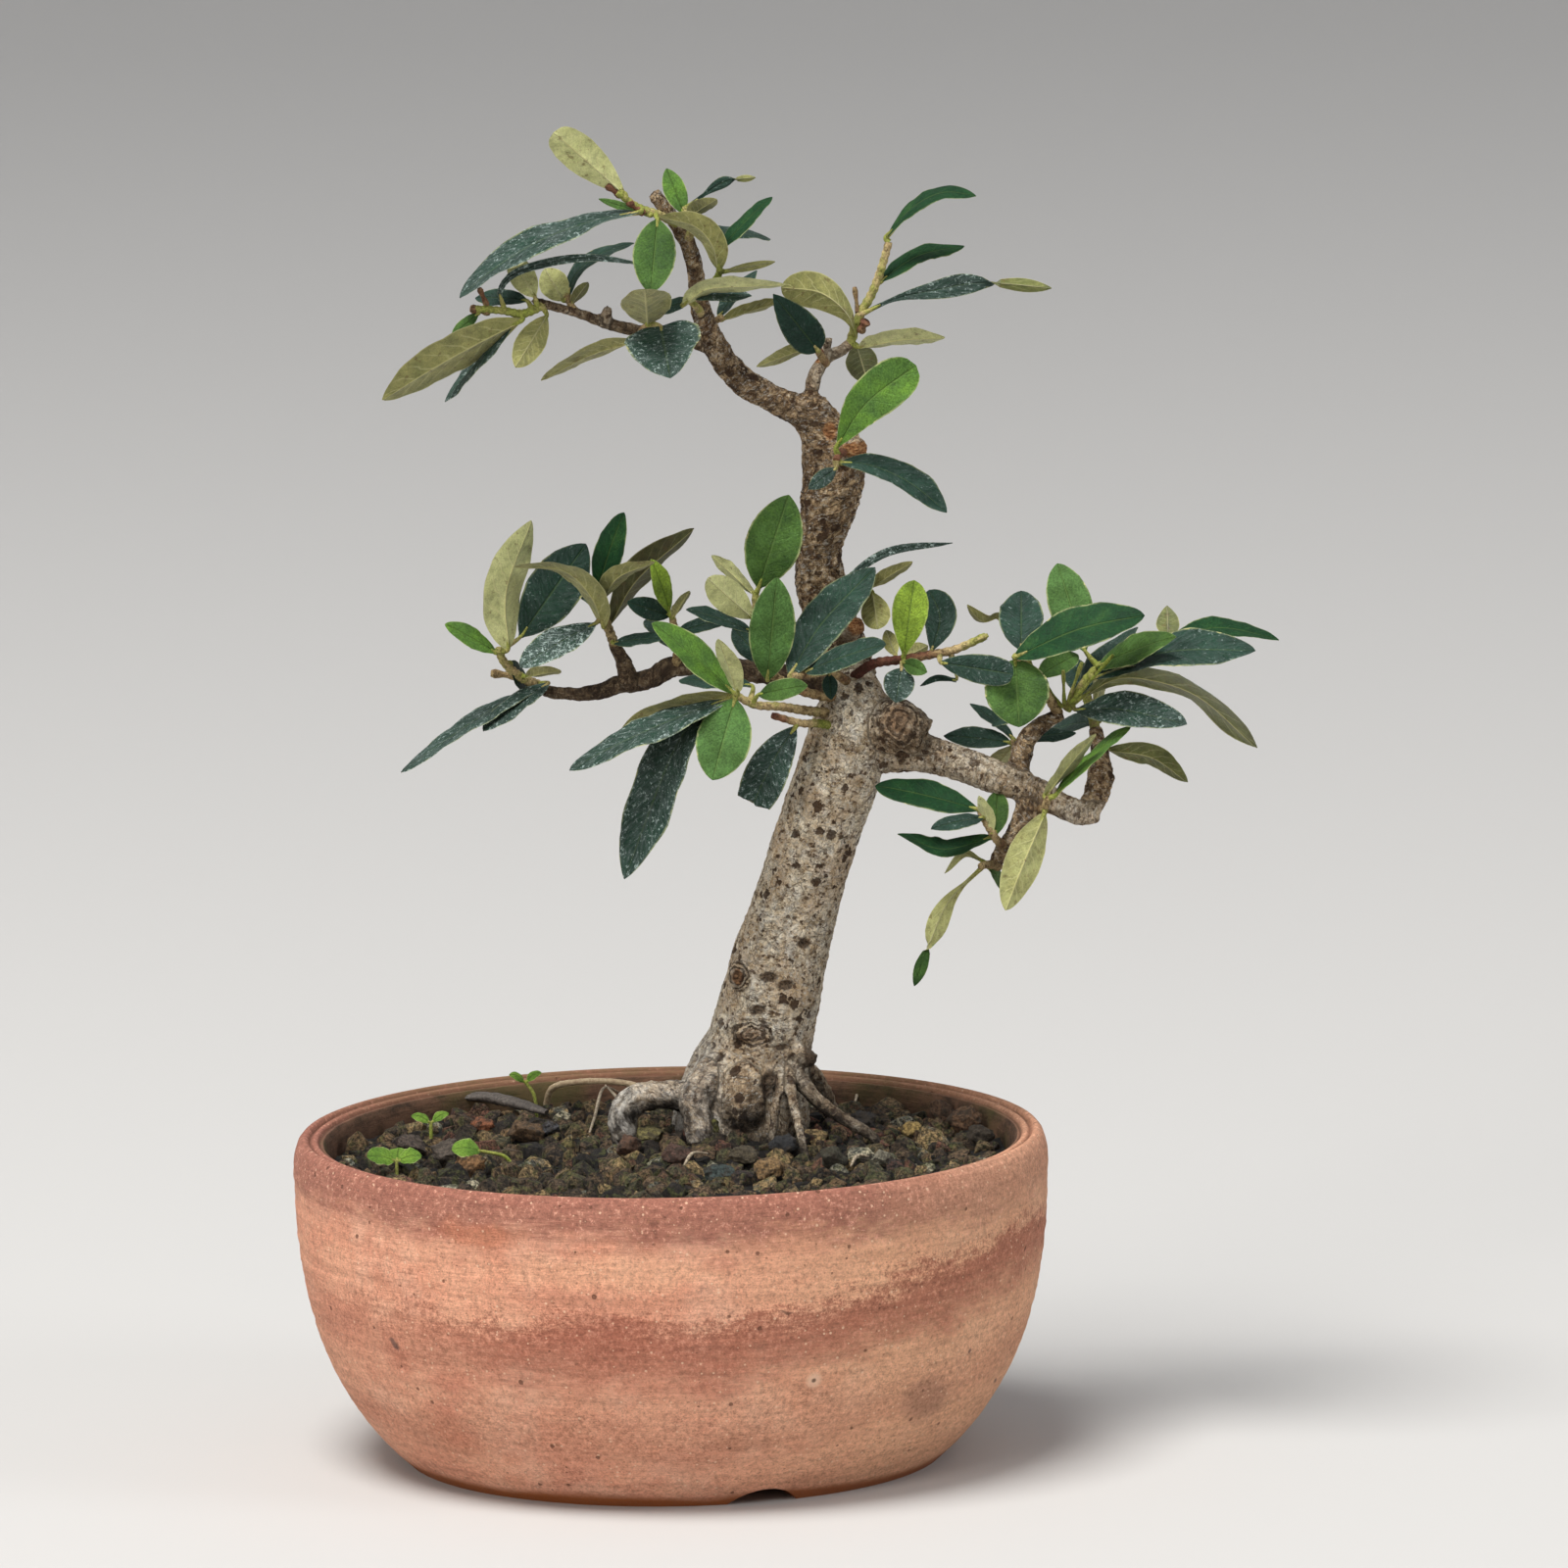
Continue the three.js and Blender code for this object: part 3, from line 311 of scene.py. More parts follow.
def spots(tree, place, spacing_mm, share, reach, squeeze=(1, 1, 1)):
    """Scattered spots of uneven size: 1 inside, 0 outside. Only a share of the cells has one."""
    scale = [amount / (spacing_mm * MM) for amount in squeeze]
    mapped = node(tree, "ShaderNodeMapping", {"Vector": place, "Scale": scale}).outputs[0]
    cells = node(tree, "ShaderNodeTexVoronoi", {"Vector": mapped, "Scale": 1.0}).outputs
    draw = node(tree, "ShaderNodeSeparateColor", {0: cells["Color"]}).outputs[0]
    size = times(tree, sums(tree, "SUBTRACT", draw, 1 - share), reach / share)
    return ramp(tree, sums(tree, "SUBTRACT", size, cells["Distance"]), [(0.0, 0), (0.05, 1)])


def warped(tree, place, size_mm, amount_mm):
    """A place pushed about by noise, so that what is drawn on it loses its regular edges."""
    scale = [1 / (size_mm * MM)] * 3
    mapped = node(tree, "ShaderNodeMapping", {"Vector": place, "Scale": scale}).outputs[0]
    noises = node(tree, "ShaderNodeTexNoise", {"Vector": mapped, "Scale": 1.0, "Detail": 2.0}).outputs
    ends = {0: noises["Color"], 1: (0.5, 0.5, 0.5)}
    centred = node(tree, "ShaderNodeVectorMath", ends, operation="SUBTRACT").outputs[0]
    push = {0: centred, "Scale": 2 * amount_mm * MM}
    sized = node(tree, "ShaderNodeVectorMath", push, operation="SCALE").outputs[0]
    return node(tree, "ShaderNodeVectorMath", {0: place, 1: sized}, operation="ADD").outputs[0]


def from_spot(tree, place, spot, half_width, half_height):
    """How far a place is from a spot: 1 at the edge of an ellipse, whose sizes are in millimetres."""
    moved = node(tree, "ShaderNodeVectorMath", {0: place, 1: spot}, operation="SUBTRACT").outputs[0]
    stretch = (1 / half_width / MM, 0.5 / half_width / MM, 1 / half_height / MM)
    scaled = node(tree, "ShaderNodeVectorMath", {0: moved, 1: stretch}, operation="MULTIPLY").outputs[0]
    return node(tree, "ShaderNodeVectorMath", {0: scaled}, operation="LENGTH").outputs["Value"]


def new_material(name):
    material = bpy.data.materials.new(name)
    material.use_nodes = True
    tree = material.node_tree
    return material, tree, tree.nodes["Principled BSDF"]


def finish_shader(tree, shader, colour, roughness, height, depth_mm, gloss=0.5):
    tree.links.new(colour, shader.inputs["Base Color"])
    tree.links.new(roughness, shader.inputs["Roughness"])
    inputs = {"Height": height, "Distance": depth_mm * MM, "Strength": 1.0}
    tree.links.new(node(tree, "ShaderNodeBump", inputs).outputs[0], shader.inputs["Normal"])
    shader.inputs["Specular IOR Level"].default_value = gloss


def on_wall(px, py):
    """The point on the front of the bowl's wall that shows at a pixel."""
    heights, radii = zip(*sorted((height, radius) for radius, height in BOWL_OUTSIDE[:-1]))
    depth = -BOWL_LIP
    for _ in range(6):
        point = seen(px, py, depth)
        aside = (point.x - bowl_axis.x) / MM
        depth = -math.sqrt(max(1, np.interp(point.z / MM, heights, radii) ** 2 - aside ** 2))
    return point


def lime_mark(tree, place, radius_mm, core_mm):
    """A round mark on the front wall, where a grain of lime burst."""
    ends = {0: place, 1: on_wall(*LIME_BURST)}
    near = node(tree, "ShaderNodeVectorMath", ends, operation="DISTANCE").outputs["Value"]
    share = sums(tree, "DIVIDE", near, radius_mm * MM)
    return ramp(tree, share, [(core_mm / radius_mm, 0.8), (1.0, 0)])


def fired_clay():
    material, tree, shader = new_material("fired_clay")
    place = object_place(tree)
    centred = node(tree, "ShaderNodeMapping", {"Vector": place, "Location": -bowl_axis}).outputs[0]
    across, behind, height = node(tree, "ShaderNodeSeparateXYZ", {0: centred}).outputs
    clouds = spread(tree, centred, 34, 4, 0.6, squeeze=(1, 1, 1.6))
    mottle = spread(tree, centred, 4.5, 6, 0.75, squeeze=(0.6, 0.6, 1.5))
    streaks = spread(tree, centred, 7, 5, 0.7, squeeze=(0.4, 0.4, 5))
    lines = spread(tree, centred, 2.2, 5, 0.75, squeeze=(0.3, 0.3, 4))
    grain = spread(tree, centred, 0.5, 4, 0.8)
    sand = spread(tree, centred, 1.3, 5, 0.8)
    patches = spread(tree, centred, 26, 4, 0.65, shift=(3.1, 1.7, 0.4))
    colour = ramp(tree, clouds, [
        (0.3, 0.52, 0.225, 0.145), (0.45, 0.6, 0.275, 0.175), (0.58, 0.66, 0.335, 0.215),
        (0.72, 0.56, 0.235, 0.15),
    ])
    colour = blended(tree, ramp(tree, patches, [(0.5, 0), (0.62, 0.6)]), colour, (0.7, 0.4, 0.275))
    tan = ramp(tree, times(tree, across, 12.0), [(0.1, 0), (0.6, 0.6)])
    colour = blended(tree, tan, colour, (0.66, 0.38, 0.22))
    # The toasted band climbs towards the right, where the kiln's flame turned round the bowl.
    climb = times(tree, sums(tree, "MAXIMUM", sums(tree, "SUBTRACT", across, 0.008), 0.0), -0.17)
    ragged = sums(tree, "MULTIPLY_ADD", mottle, 0.02, -0.01)
    sway = sums(tree, "MULTIPLY_ADD", clouds, 0.012, -0.006)
    fray = sums(tree, "MULTIPLY_ADD", plus(tree, grain, sand), 0.011, -0.011)
    level = plus(tree, plus(tree, height, sway), plus(tree, ragged, fray))
    band_share = sums(tree, "DIVIDE", plus(tree, level, climb), bowl_high.z)
    band = ramp(tree, band_share, [(0.38, 0), (0.47, 0.6), (0.54, 0.85), (0.585, 0.75), (0.635, 0)])
    less_at_left = ramp(tree, sums(tree, "MULTIPLY_ADD", across, 8.0, 0.9), [(0.2, 0.12), (0.62, 1)])
    colour = marked(tree, colour, band, less_at_left, (0.335, 0.112, 0.07))
    low_band = ramp(tree, band_share, [(0.13, 0), (0.19, 0.35), (0.26, 0.25), (0.34, 0)])
    colour = blended(tree, low_band, colour, (0.36, 0.15, 0.09))
    # The lip is reddened, most at the left and in front, and its edge is worn in grains.
    fringe = sums(tree, "DIVIDE", plus(tree, level, times(tree, climb, -0.18)), bowl_high.z)
    reddened = ramp(tree, fringe, [(0.8, 0), (0.87, 0.35), (0.91, 0.85), (0.96, 0.9), (1.0, 0.97)])
    less_at_right = ramp(tree, times(tree, across, 8.0), [(0.34, 1), (0.62, 0.45)])
    colour = marked(tree, colour, reddened, less_at_right, (0.28, 0.11, 0.078))
    worn = ramp(tree, sums(tree, "SUBTRACT", sand, times(tree, fringe, 0.08)), [(0.48, 0), (0.57, 0.75)])
    colour = marked(tree, colour, worn, ramp(tree, fringe, [(0.8, 0.4), (0.9, 1)]), (0.6, 0.32, 0.23))
    licked = warped(tree, place, 7, 3.2)
    for px, py, wide, high, strength, tone in FIRE_MARKS:
        mark = ramp(tree, from_spot(tree, licked, on_wall(px, py), wide, high), [(0.5, 1), (1.0, 0)])
        colour = marked(tree, colour, mark, strength, tone)
    colour = shaded(tree, colour, 0.7, streaks, [(0.3, 0.8), (0.5, 1.0), (0.7, 1.14)])
    colour = shaded(tree, colour, 0.5, lines, [(0.34, 0.76), (0.48, 1.0), (0.66, 1.12)])
    colour = shaded(tree, colour, 0.9, grain, [(0.3, 0.56), (0.46, 1.0), (0.68, 1.25)])
    colour = shaded(tree, colour, 0.8, sand, [(0.37, 0.6), (0.48, 0.98), (0.62, 1.2)])
    freckle = spots(tree, warped(tree, centred, 1, 0.3), 1.1, 0.5, 0.3)
    fewer = ramp(tree, patches, [(0.44, 0.75), (0.56, 0.2)])
    colour = marked(tree, colour, freckle, fewer, (0.3, 0.14, 0.08))
    colour = marked(tree, colour, spots(tree, centred, 1.4, 0.7, 0.26), 0.7, (0.76, 0.52, 0.36))
    pin_hole = spots(tree, warped(tree, centred, 1, 0.25), 3.4, 0.4, 0.2)
    colour = marked(tree, colour, pin_hole, 0.75, (0.12, 0.05, 0.03))
    colour = blended(tree, lime_mark(tree, place, 2.3, 1.2), colour, (0.76, 0.5, 0.35))
    colour = blended(tree, lime_mark(tree, place, 0.75, 0.45), colour, (0.06, 0.03, 0.02))
    foot_share = sums(tree, "DIVIDE", sums(tree, "MULTIPLY_ADD", sway, 0.35, height), bowl_high.z)
    toast = ramp(tree, foot_share, [(0.02, 1), (0.045, 0)])
    colour = blended(tree, toast, colour, (0.34, 0.1, 0.025))
    # Wet soil has soiled the back of the lip, and darkened and greened the wall inside.
    dirty_lip = ramp(tree, sums(tree, "DIVIDE", height, bowl_high.z), [(0.94, 0), (0.985, 1)])
    dirty_lip = times(tree, ramp(tree, times(tree, behind, 10.0), [(0.1, 0), (0.7, 1)]), dirty_lip)
    colour = marked(tree, colour, dirty_lip, ramp(tree, mottle, [(0.42, 1), (0.6, 0.6)]), (0.19, 0.11, 0.058))
    # Painted shade: dark brown lines lie in the lip's two turned grooves.
    colour = marked(tree, colour, carried(tree, "groove"), 0.75, (0.12, 0.055, 0.035))
    dried = ramp(tree, mottle, [(0.35, 0), (0.6, 1)])
    grime = blended(tree, dried, (0.045, 0.028, 0.018), (0.16, 0.085, 0.052))
    grime = blended(tree, ramp(tree, patches, [(0.48, 0), (0.64, 0.55)]), grime, (0.075, 0.075, 0.022))
    within = sums(tree, "MINIMUM", sums(tree, "MAXIMUM", carried(tree, "inside"), 0.0), 1.0)
    colour = blended(tree, within, colour, grime)
    relief = layered(tree, (lines, 1.0), (grain, 0.8), (mottle, 0.5), (pin_hole, -1.0))
    finish_shader(tree, shader, colour, ramp(tree, toast, [(0, 0.9), (1, 0.45)]), relief, 0.3, gloss=0.25)
    return material


wall = [tuple(point) for point in smooth_path(BOWL_OUTSIDE, WALL_ROWS)]
outside = wall + [tuple(point) for point in smooth_path(BOWL_LIP_TOP, LIP_ROWS)][1:]
inside = [tuple(point) for point in smooth_path(BOWL_INSIDE, INSIDE_ROWS)][1:]
under = [
    (DRAIN_RADIUS, FLOOR_TOP), (DRAIN_RADIUS, FOOT_HEIGHT), (FOOT_INNER_RADIUS, FOOT_HEIGHT),
    (FOOT_INNER_RADIUS + 1.5, 0),
]
bowl_profile = outside + inside + under
bowl_points, bowl_faces = turned(bowl_profile, BOWL_TURNS)
for number, point in enumerate(bowl_points):
    if 3 < number % len(bowl_profile) < len(wall) - 3:
        across = (point - bowl_axis) * Vector((1, 1, 0))
        height = point.z / MM
        ridge = noise.noise(Vector((0, 0, height * 0.42)))
        ridge += 0.5 * noise.noise(Vector((across.x * 22, across.y * 22, height * 0.9)))
        bowl_points[number] = point + across.normalized() * ridge * THROWING_RIDGE * MM
bowl = new_piece("bowl", bowl_points, bowl_faces, [fired_clay()])
for notch in range(NOTCHES):
    direction = NOTCH_DIRECTION + notch * 2 * math.pi / NOTCHES
    along = Vector((math.cos(direction), math.sin(direction), 0))
    middle = bowl_axis + along * FOOT_RADIUS * MM + Vector((0, 0, (NOTCH_RISE - NOTCH_RADIUS) * MM))
    form = bmesh.new()
    bmesh.ops.create_cone(
        form, cap_ends=True, segments=NOTCH_SIDES, radius1=NOTCH_RADIUS * MM, radius2=NOTCH_RADIUS * MM,
        depth=NOTCH_LENGTH * MM,
    )
    form.transform(Matrix.Translation(middle) @ along.to_track_quat("Z", "Y").to_matrix().to_4x4())
    cutter = new_piece("notch_cutter", [], [], [])
    form.to_mesh(cutter.data)
    form.free()
    cut = bowl.modifiers.new("notch", "BOOLEAN")
    cut.operation = "DIFFERENCE"
    cut.object = cutter
    cut.solver = "EXACT"
    baked(bowl)
    bpy.data.objects.remove(cutter)
# The groove share is painted shade: a dark band round the radius of each of the lip's two grooves.
inside_shares, groove_shade_shares = [], []
for vertex in bowl.data.vertices:
    across = (vertex.co - bowl_axis) / MM
    radius = math.hypot(across.x, across.y)
    middle = np.interp(across.z, WALL_HEIGHTS, WALL_MIDDLES)
    is_inside = radius < middle and across.z > FLOOR_TOP - 0.5
    inside_shares.append(min(1, (middle + 0.8 - radius) / 2) if is_inside else 0)
    from_groove = min(abs(radius - groove) for groove in LIP_GROOVES)
    groove_shade_shares.append(max(0, 1 - from_groove / GROOVE_SHADE_WIDTH) if across.z > BOWL_HEIGHT - 3 else 0)
set_shares(bowl, inside=inside_shares, groove=groove_shade_shares)
shade_smooth(bowl, 38)
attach(bowl, "root")
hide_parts("pot")

# Wood
# Roots, trunk, leader, branches and woody twigs grew as one piece. The trunk is grey and smooth with
# rusty pits, and the older stretches above it and the twigs are dark and flaky.
# A limb's row: how flaky its bark is, how dark, and its points as pixel, depth and radius.

BARK_GRAIN = 0.53
WOOD = {
    "trunk": (0.2, 0.0, [
        (756, 1172, 22, 16.5), (758, 1132, 22, 15.8), (764, 1100, 22, 14.4), (773, 1072, 22, 12.6),
        (785, 1023, 21, 11.6), (795, 980, 20, 11), (812, 925, 19, 10), (824, 882, 18, 9.8),
        (834, 851, 17, 9.6), (855, 790, 16, 9.8), (868, 745, 15, 9.2), (874, 712, 15, 7.6),
        (878, 690, 15, 4.2),
    ]),
    "upper_trunk": (0.95, 0.12, [
        (872, 735, 19, 7), (862, 680, 22, 6.6), (850, 640, 23, 6), (839, 600, 23, 5.8), (836, 560, 22, 5.2),
        (845, 518, 21, 6.4), (851, 482, 20, 7.2), (848, 456, 19, 6.8), (836, 432, 18, 5.2),
        (824, 414, 17, 4.2),
    ]),
    "leader": (0.9, 0.2, [
        (832, 426, 18, 4), (805, 414, 17, 3.4), (779, 402, 16, 3.3), (757, 388, 15, 3.2), (737, 365, 14, 3),
        (722, 337, 13, 2.7), (714, 309, 12, 2.3), (709, 273, 11, 2), (700, 246, 10, 1.9), (688, 226, 9, 1.8),
        (667, 197, 8, 1.6),
    ]),
    "crown_left_branch": (0.7, 0.6, [
        (728, 356, 14, 1.8), (690, 343, 12, 1.5), (648, 337, 10, 1.4), (617, 329, 8, 1.4), (589, 319, 6, 1.2),
        (558, 311, 4, 1.1), (543, 306, 3, 0.9),
    ]),
    "crown_left_stub": (0.4, 0.6, [(619, 331, 8, 1.3), (619, 322, 7, 1.3), (620, 314, 6, 1.1)]),
    "crown_right_branch": (0.5, 0.45, [
        (824, 424, 17, 2.2), (828, 398, 18, 1.9), (833, 380, 18, 1.7), (845, 364, 19, 1.5),
        (860, 357, 19, 1.4), (868, 350, 20, 1.3),
    ]),
    "crown_right_stub": (0.4, 0.5, [(842, 368, 18, 1.2), (843, 356, 17, 1.1), (846, 345, 16, 1)]),
    "trunk_knob": (0.6, 0.2, [(850, 464, 18, 4), (866, 460, 14, 3), (880, 457, 12, 2.4)]),
    "cut_stub": (0.3, 0.6, [(848, 642, 20, 2.8), (866, 641, 16, 2.6), (876, 641, 14, 2.5)]),
    "left_branch": (1.0, 0.9, [
        (856, 700, 20, 3.4), (812, 692, 22, 2.9), (760, 684, 24, 2.6), (688, 680, 25, 2.5),
        (661, 693, 25, 2.4),
        (630, 699, 25, 2.2), (604, 707, 25, 1.9), (567, 707, 24, 1.5), (544, 700, 24, 1.2),
    ]),
    "left_spur": (0.9, 0.8, [(642, 696, 24, 2.4), (637, 678, 22, 2), (626, 656, 21, 1.3)]),
    "shoulder_knob": (0.6, 0.35, [
        (882, 742, 15, 7.2), (905, 740, 12, 6.8), (925, 743, 8, 5.8), (943, 752, 7, 4.2),
    ]),
    "right_branch": (0.45, 0.12, [
        (868, 755, 15, 7), (904, 763, 14, 5.8), (935, 767, 12, 4.8), (960, 773, 10, 4.2), (985, 781, 8, 4),
        (1014, 792, 6, 3.9), (1048, 805, 4, 3.6), (1085, 823, 3, 3), (1104, 830, 3, 2.9), (1121, 828, 3, 2.4),
    ]),
    "right_riser": (0.9, 0.15, [
        (1036, 802, 6, 2.8), (1041, 775, 7, 2.7), (1046, 757, 8, 2.4), (1062, 740, 8, 2), (1084, 727, 8, 1.6),
    ]),
    "right_outer_riser": (0.8, 0.15, [
        (1108, 832, 4, 2.6), (1119, 810, 6, 3), (1123, 788, 8, 2.9), (1121, 764, 10, 2.2),
        (1118, 742, 11, 1.6),
    ]),
    "low_spur": (1.0, 0.25, [
        (1052, 806, 4, 3), (1047, 832, 2, 3), (1036, 854, 1, 2.6), (1022, 870, 1, 2), (1014, 886, 1, 1.3),
    ]),
    "left_root": (0.25, 0.0, [
        (740, 1108, 18, 4.4), (700, 1117, 15, 4), (672, 1119, 13, 3.7), (650, 1122, 12, 3.7),
        (636, 1136, 12, 3.6),
        (638, 1160, 12, 3.3), (640, 1186, 12, 2.8),
    ]),
    "left_buttress": (0.5, 0.1, [(728, 1096, 14, 4.5), (710, 1122, 9, 3.8), (716, 1168, 6, 3.2)]),
    "front_bulge": (0.4, 0.1, [
        (766, 1080, 15, 4.5), (760, 1105, 12, 6), (757, 1128, 10.5, 6.4), (764, 1152, 12, 5),
        (770, 1176, 14, 4),
    ]),
    "front_root_a": (0.3, 0.35, [(795, 1085, 12, 1.8), (793, 1118, 6, 1.3), (787, 1168, 3, 1)]),
    "front_root_b": (0.3, 0.35, [
        (802, 1090, 12, 1.8), (808, 1117, 5, 1.3), (816, 1155, -4, 1.1), (826, 1196, -10, 0.9),
    ]),
    "right_root": (0.4, 0.75, [
        (806, 1088, 13, 2.3), (832, 1121, 9, 1.8), (858, 1140, 8, 1.5), (890, 1160, 8, 1.3),
        (902, 1178, 8, 1),
    ]),
    "back_root": (0.4, 0.3, [(808, 1082, 22, 3.4), (834, 1108, 28, 2.6), (852, 1142, 32, 1.8)]),
    "rear_root": (0.4, 0.2, [(752, 1086, 30, 5.5), (738, 1102, 40, 3.6), (730, 1132, 48, 2.2)]),
}
WOOD_LUMPS = [
    (767, 1056, 11.6, (4.6, 2.6, 2.2)), (753, 996, 12.6, (2.4, 2.4, 3.4)), (822, 1078, 13, (3.2, 3, 3)),
    (916, 735, 5.4, (3.6, 2.4, 3.6)),
]
# A scar's row, or a gap's at the root flare: pixel, depth of the bark there, half width and half height in
# millimetres, how deep.
SCARS = [
    (784, 997, 9.6, 2.4, 1.2, 0.8), (801, 1005, 9.8, 2.2, 1.2, 0.8), (773, 1031, 9.6, 2.1, 1.2, 0.7),
    (821, 963, 9.5, 1.5, 1.2, 1.2), (798, 1070, 9.2, 2.4, 0.9, 0.7), (676, 1142, 9.5, 4.5, 3.0, 1.2),
    (920, 770, 8.5, 1.2, 2.6, 0.7), (829, 1072, 12, 2, 4, 1.1), (786, 1106, 7.5, 2.2, 3.2, 0.9),
    (756, 1150, 9, 2.4, 2.4, 0.8),
]
# A ringed knot's row: pixel, depth of the bark there, half width and half height in millimetres.
RINGED_KNOTS = [(767, 1056, 9.5, 5.2, 3.2), (751, 996, 10.4, 3.2, 4), (916, 738, 3.2, 5.4, 5.8)]


def tube(path, radii, sides):
    """A closed round tube along a path. Its rings turn as little as they can from one to the next."""
    path = [Vector(point) for point in path]
    points, faces = [], []
    side = (path[1] - path[0]).orthogonal().normalized()
    for number, centre in enumerate(path):
        ahead = path[min(number + 1, len(path) - 1)] - path[max(number - 1, 0)]
        ahead.normalize()
        side = (side - ahead * side.dot(ahead)).normalized()
        other = ahead.cross(side)
        for step in range(sides):
            angle = step / sides * 2 * math.pi
            points.append(centre + (side * math.cos(angle) + other * math.sin(angle)) * radii[number])
    for ring in range(len(path) - 1):
        for step in range(sides):
            low, high = ring * sides + step, ring * sides + (step + 1) % sides
            faces.append((low, high, high + sides, low + sides))
    faces.append(tuple(reversed(range(sides))))
    faces.append(tuple(range(len(points) - sides, len(points))))
    return points, faces


def plated(tree, grain):
    """Dark gaps between the small plates that the bark has flaked into."""
    plate_place = warped(tree, warped(tree, grain, 3, 1.6), 0.7, 0.5)
    plate_scale = [share / (1.9 * MM) for share in (1, 1, 0.7)]
    mapped = node(tree, "ShaderNodeMapping", {"Vector": plate_place, "Scale": plate_scale}).outputs[0]
    plates = node(tree, "ShaderNodeTexVoronoi", {"Vector": mapped, "Scale": 1.0}, feature="DISTANCE_TO_EDGE")
    broken_gaps = ramp(tree, spread(tree, grain, 3.4, 4, 0.7, shift=(6, 2, 5)), [(0.42, 0.1), (0.56, 1)])
    return times(tree, ramp(tree, plates.outputs["Distance"], [(0.0, 1), (0.09, 0)]), broken_gaps)


def bark():
    material, tree, shader = new_material("bark")
    place = object_place(tree)
    grain = carried(tree, "grain", "Vector")
    dark = carried(tree, "dark")
    rough_place = warped(tree, grain, 2.2, 0.9)
    clouds = spread(tree, grain, 9, 4, 0.6, squeeze=(1, 1, 0.7))
    fibres = spread(tree, rough_place, 1.9, 6, 0.78, squeeze=(1, 1, 0.55))
    checks = spread(tree, rough_place, 2.0, 4, 0.7, squeeze=(0.6, 0.6, 2.4))
    fine = spread(tree, grain, 0.45, 4, 0.75)
    smooth_bark = ramp(tree, fibres, [
        (0.3, 0.16, 0.1, 0.055), (0.37, 0.48, 0.36, 0.22), (0.44, 0.72, 0.59, 0.41), (0.52, 0.9, 0.79, 0.61),
        (0.63, 0.98, 0.92, 0.8),
    ])
    smooth_bark = blended(tree, ramp(tree, clouds, [(0.46, 0), (0.6, 0.6)]), smooth_bark, (0.5, 0.33, 0.18))
    smooth_bark = blended(tree, ramp(tree, clouds, [(0.32, 0.4), (0.42, 0)]), smooth_bark, (0.5, 0.48, 0.44))
    crack = ramp(tree, checks, [(0.33, 1), (0.41, 0)])
    smooth_bark = marked(tree, smooth_bark, crack, 0.6, (0.17, 0.11, 0.065))
    rough_bark = ramp(tree, fibres, [
        (0.34, 0.025, 0.015, 0.01), (0.43, 0.11, 0.07, 0.04), (0.49, 0.3, 0.2, 0.11),
        (0.555, 0.58, 0.41, 0.23), (0.64, 0.8, 0.67, 0.5),
    ])
    rough_bark = blended(tree, ramp(tree, checks, [(0.36, 0.9), (0.46, 0)]), rough_bark, (0.035, 0.02, 0.012))
    flakiness = ramp(tree, carried(tree, "flaky"), [(0.25, 0), (0.75, 1)])
    colour = blended(tree, flakiness, smooth_bark, rough_bark)
    plate_gap = plated(tree, grain)
    colour = marked(tree, colour, plate_gap, 0.62, (0.12, 0.072, 0.04))
    # Thin winding creases run round the limbs, where a noise crosses its middle value.
    wrinkles = spread(tree, rough_place, 2.7, 5, 0.6, squeeze=(0.75, 0.75, 1.5), shift=(2, 5, 3))
    crease = ramp(tree, sums(tree, "ABSOLUTE", sums(tree, "SUBTRACT", wrinkles, 0.5)), [(0.0, 1), (0.02, 0)])
    crease = times(tree, crease, ramp(tree, clouds, [(0.4, 1), (0.58, 0.35)]))
    colour = marked(tree, colour, crease, 0.7, (0.13, 0.08, 0.045))
    chalk = spread(tree, rough_place, 1.1, 5, 0.8, squeeze=(0.8, 0.8, 1.6), shift=(9, 1, 4))
    chalky = times(
        tree, ramp(tree, chalk, [(0.54, 0), (0.62, 0.78)]), ramp(tree, dark, [(0.1, 1), (0.6, 0.1)])
    )
    colour = blended(tree, chalky, colour, (0.92, 0.86, 0.76))
    colour = shaded(tree, colour, 0.8, fine, [(0.3, 0.6), (0.48, 1.02), (0.68, 1.3)])
    # Rusty pits of two sizes stand in belts round the trunk.
    belt = ramp(tree, clouds, [(0.34, 0.7), (0.5, 1)])
    torn = warped(tree, grain, 1.2, 1.1)
    large_pit = spots(tree, torn, 2.6, 0.62, 0.5, squeeze=(1.0, 1.0, 0.85))
    blotches = spread(tree, grain, 1.5, 4, 0.65, squeeze=(0.85, 0.85, 1.15), shift=(1, 8, 2))
    blotch = ramp(tree, blotches, [(0.6, 0), (0.64, 1)])
    small_pit = sums(tree, "MAXIMUM", spots(tree, torn, 1.5, 0.55, 0.34), blotch)
    rust = ramp(tree, blotches, [(0.53, 0), (0.6, 0.45)])
    colour = marked(tree, colour, rust, belt, (0.24, 0.125, 0.055))
    pit = times(tree, sums(tree, "MAXIMUM", large_pit, times(tree, small_pit, 0.85)), belt)
    colour = marked(tree, colour, pit, 0.92, (0.06, 0.03, 0.015))
    colour = marked(tree, colour, dark, 0.8, (0.045, 0.032, 0.023))
    # Torn, orange-brown wood shows where a branch broke off.
    splinters = ramp(tree, spread(tree, place, 1.0, 5, 0.75, squeeze=(0.45, 1, 2)), [
        (0.38, 0.06, 0.022, 0.01), (0.48, 0.33, 0.14, 0.055), (0.58, 0.52, 0.28, 0.12),
        (0.68, 0.75, 0.52, 0.3),
    ])
    for px, py, depth, half_width, half_height in TORN_WOOD:
        reach = from_spot(tree, place, seen(px, py, depth), half_width, half_height)
        edge = times(tree, sums(tree, "MULTIPLY_ADD", fibres, 0.9, reach), 0.5)
        colour = blended(tree, ramp(tree, edge, [(0.58, 1), (0.7, 0)]), colour, splinters)
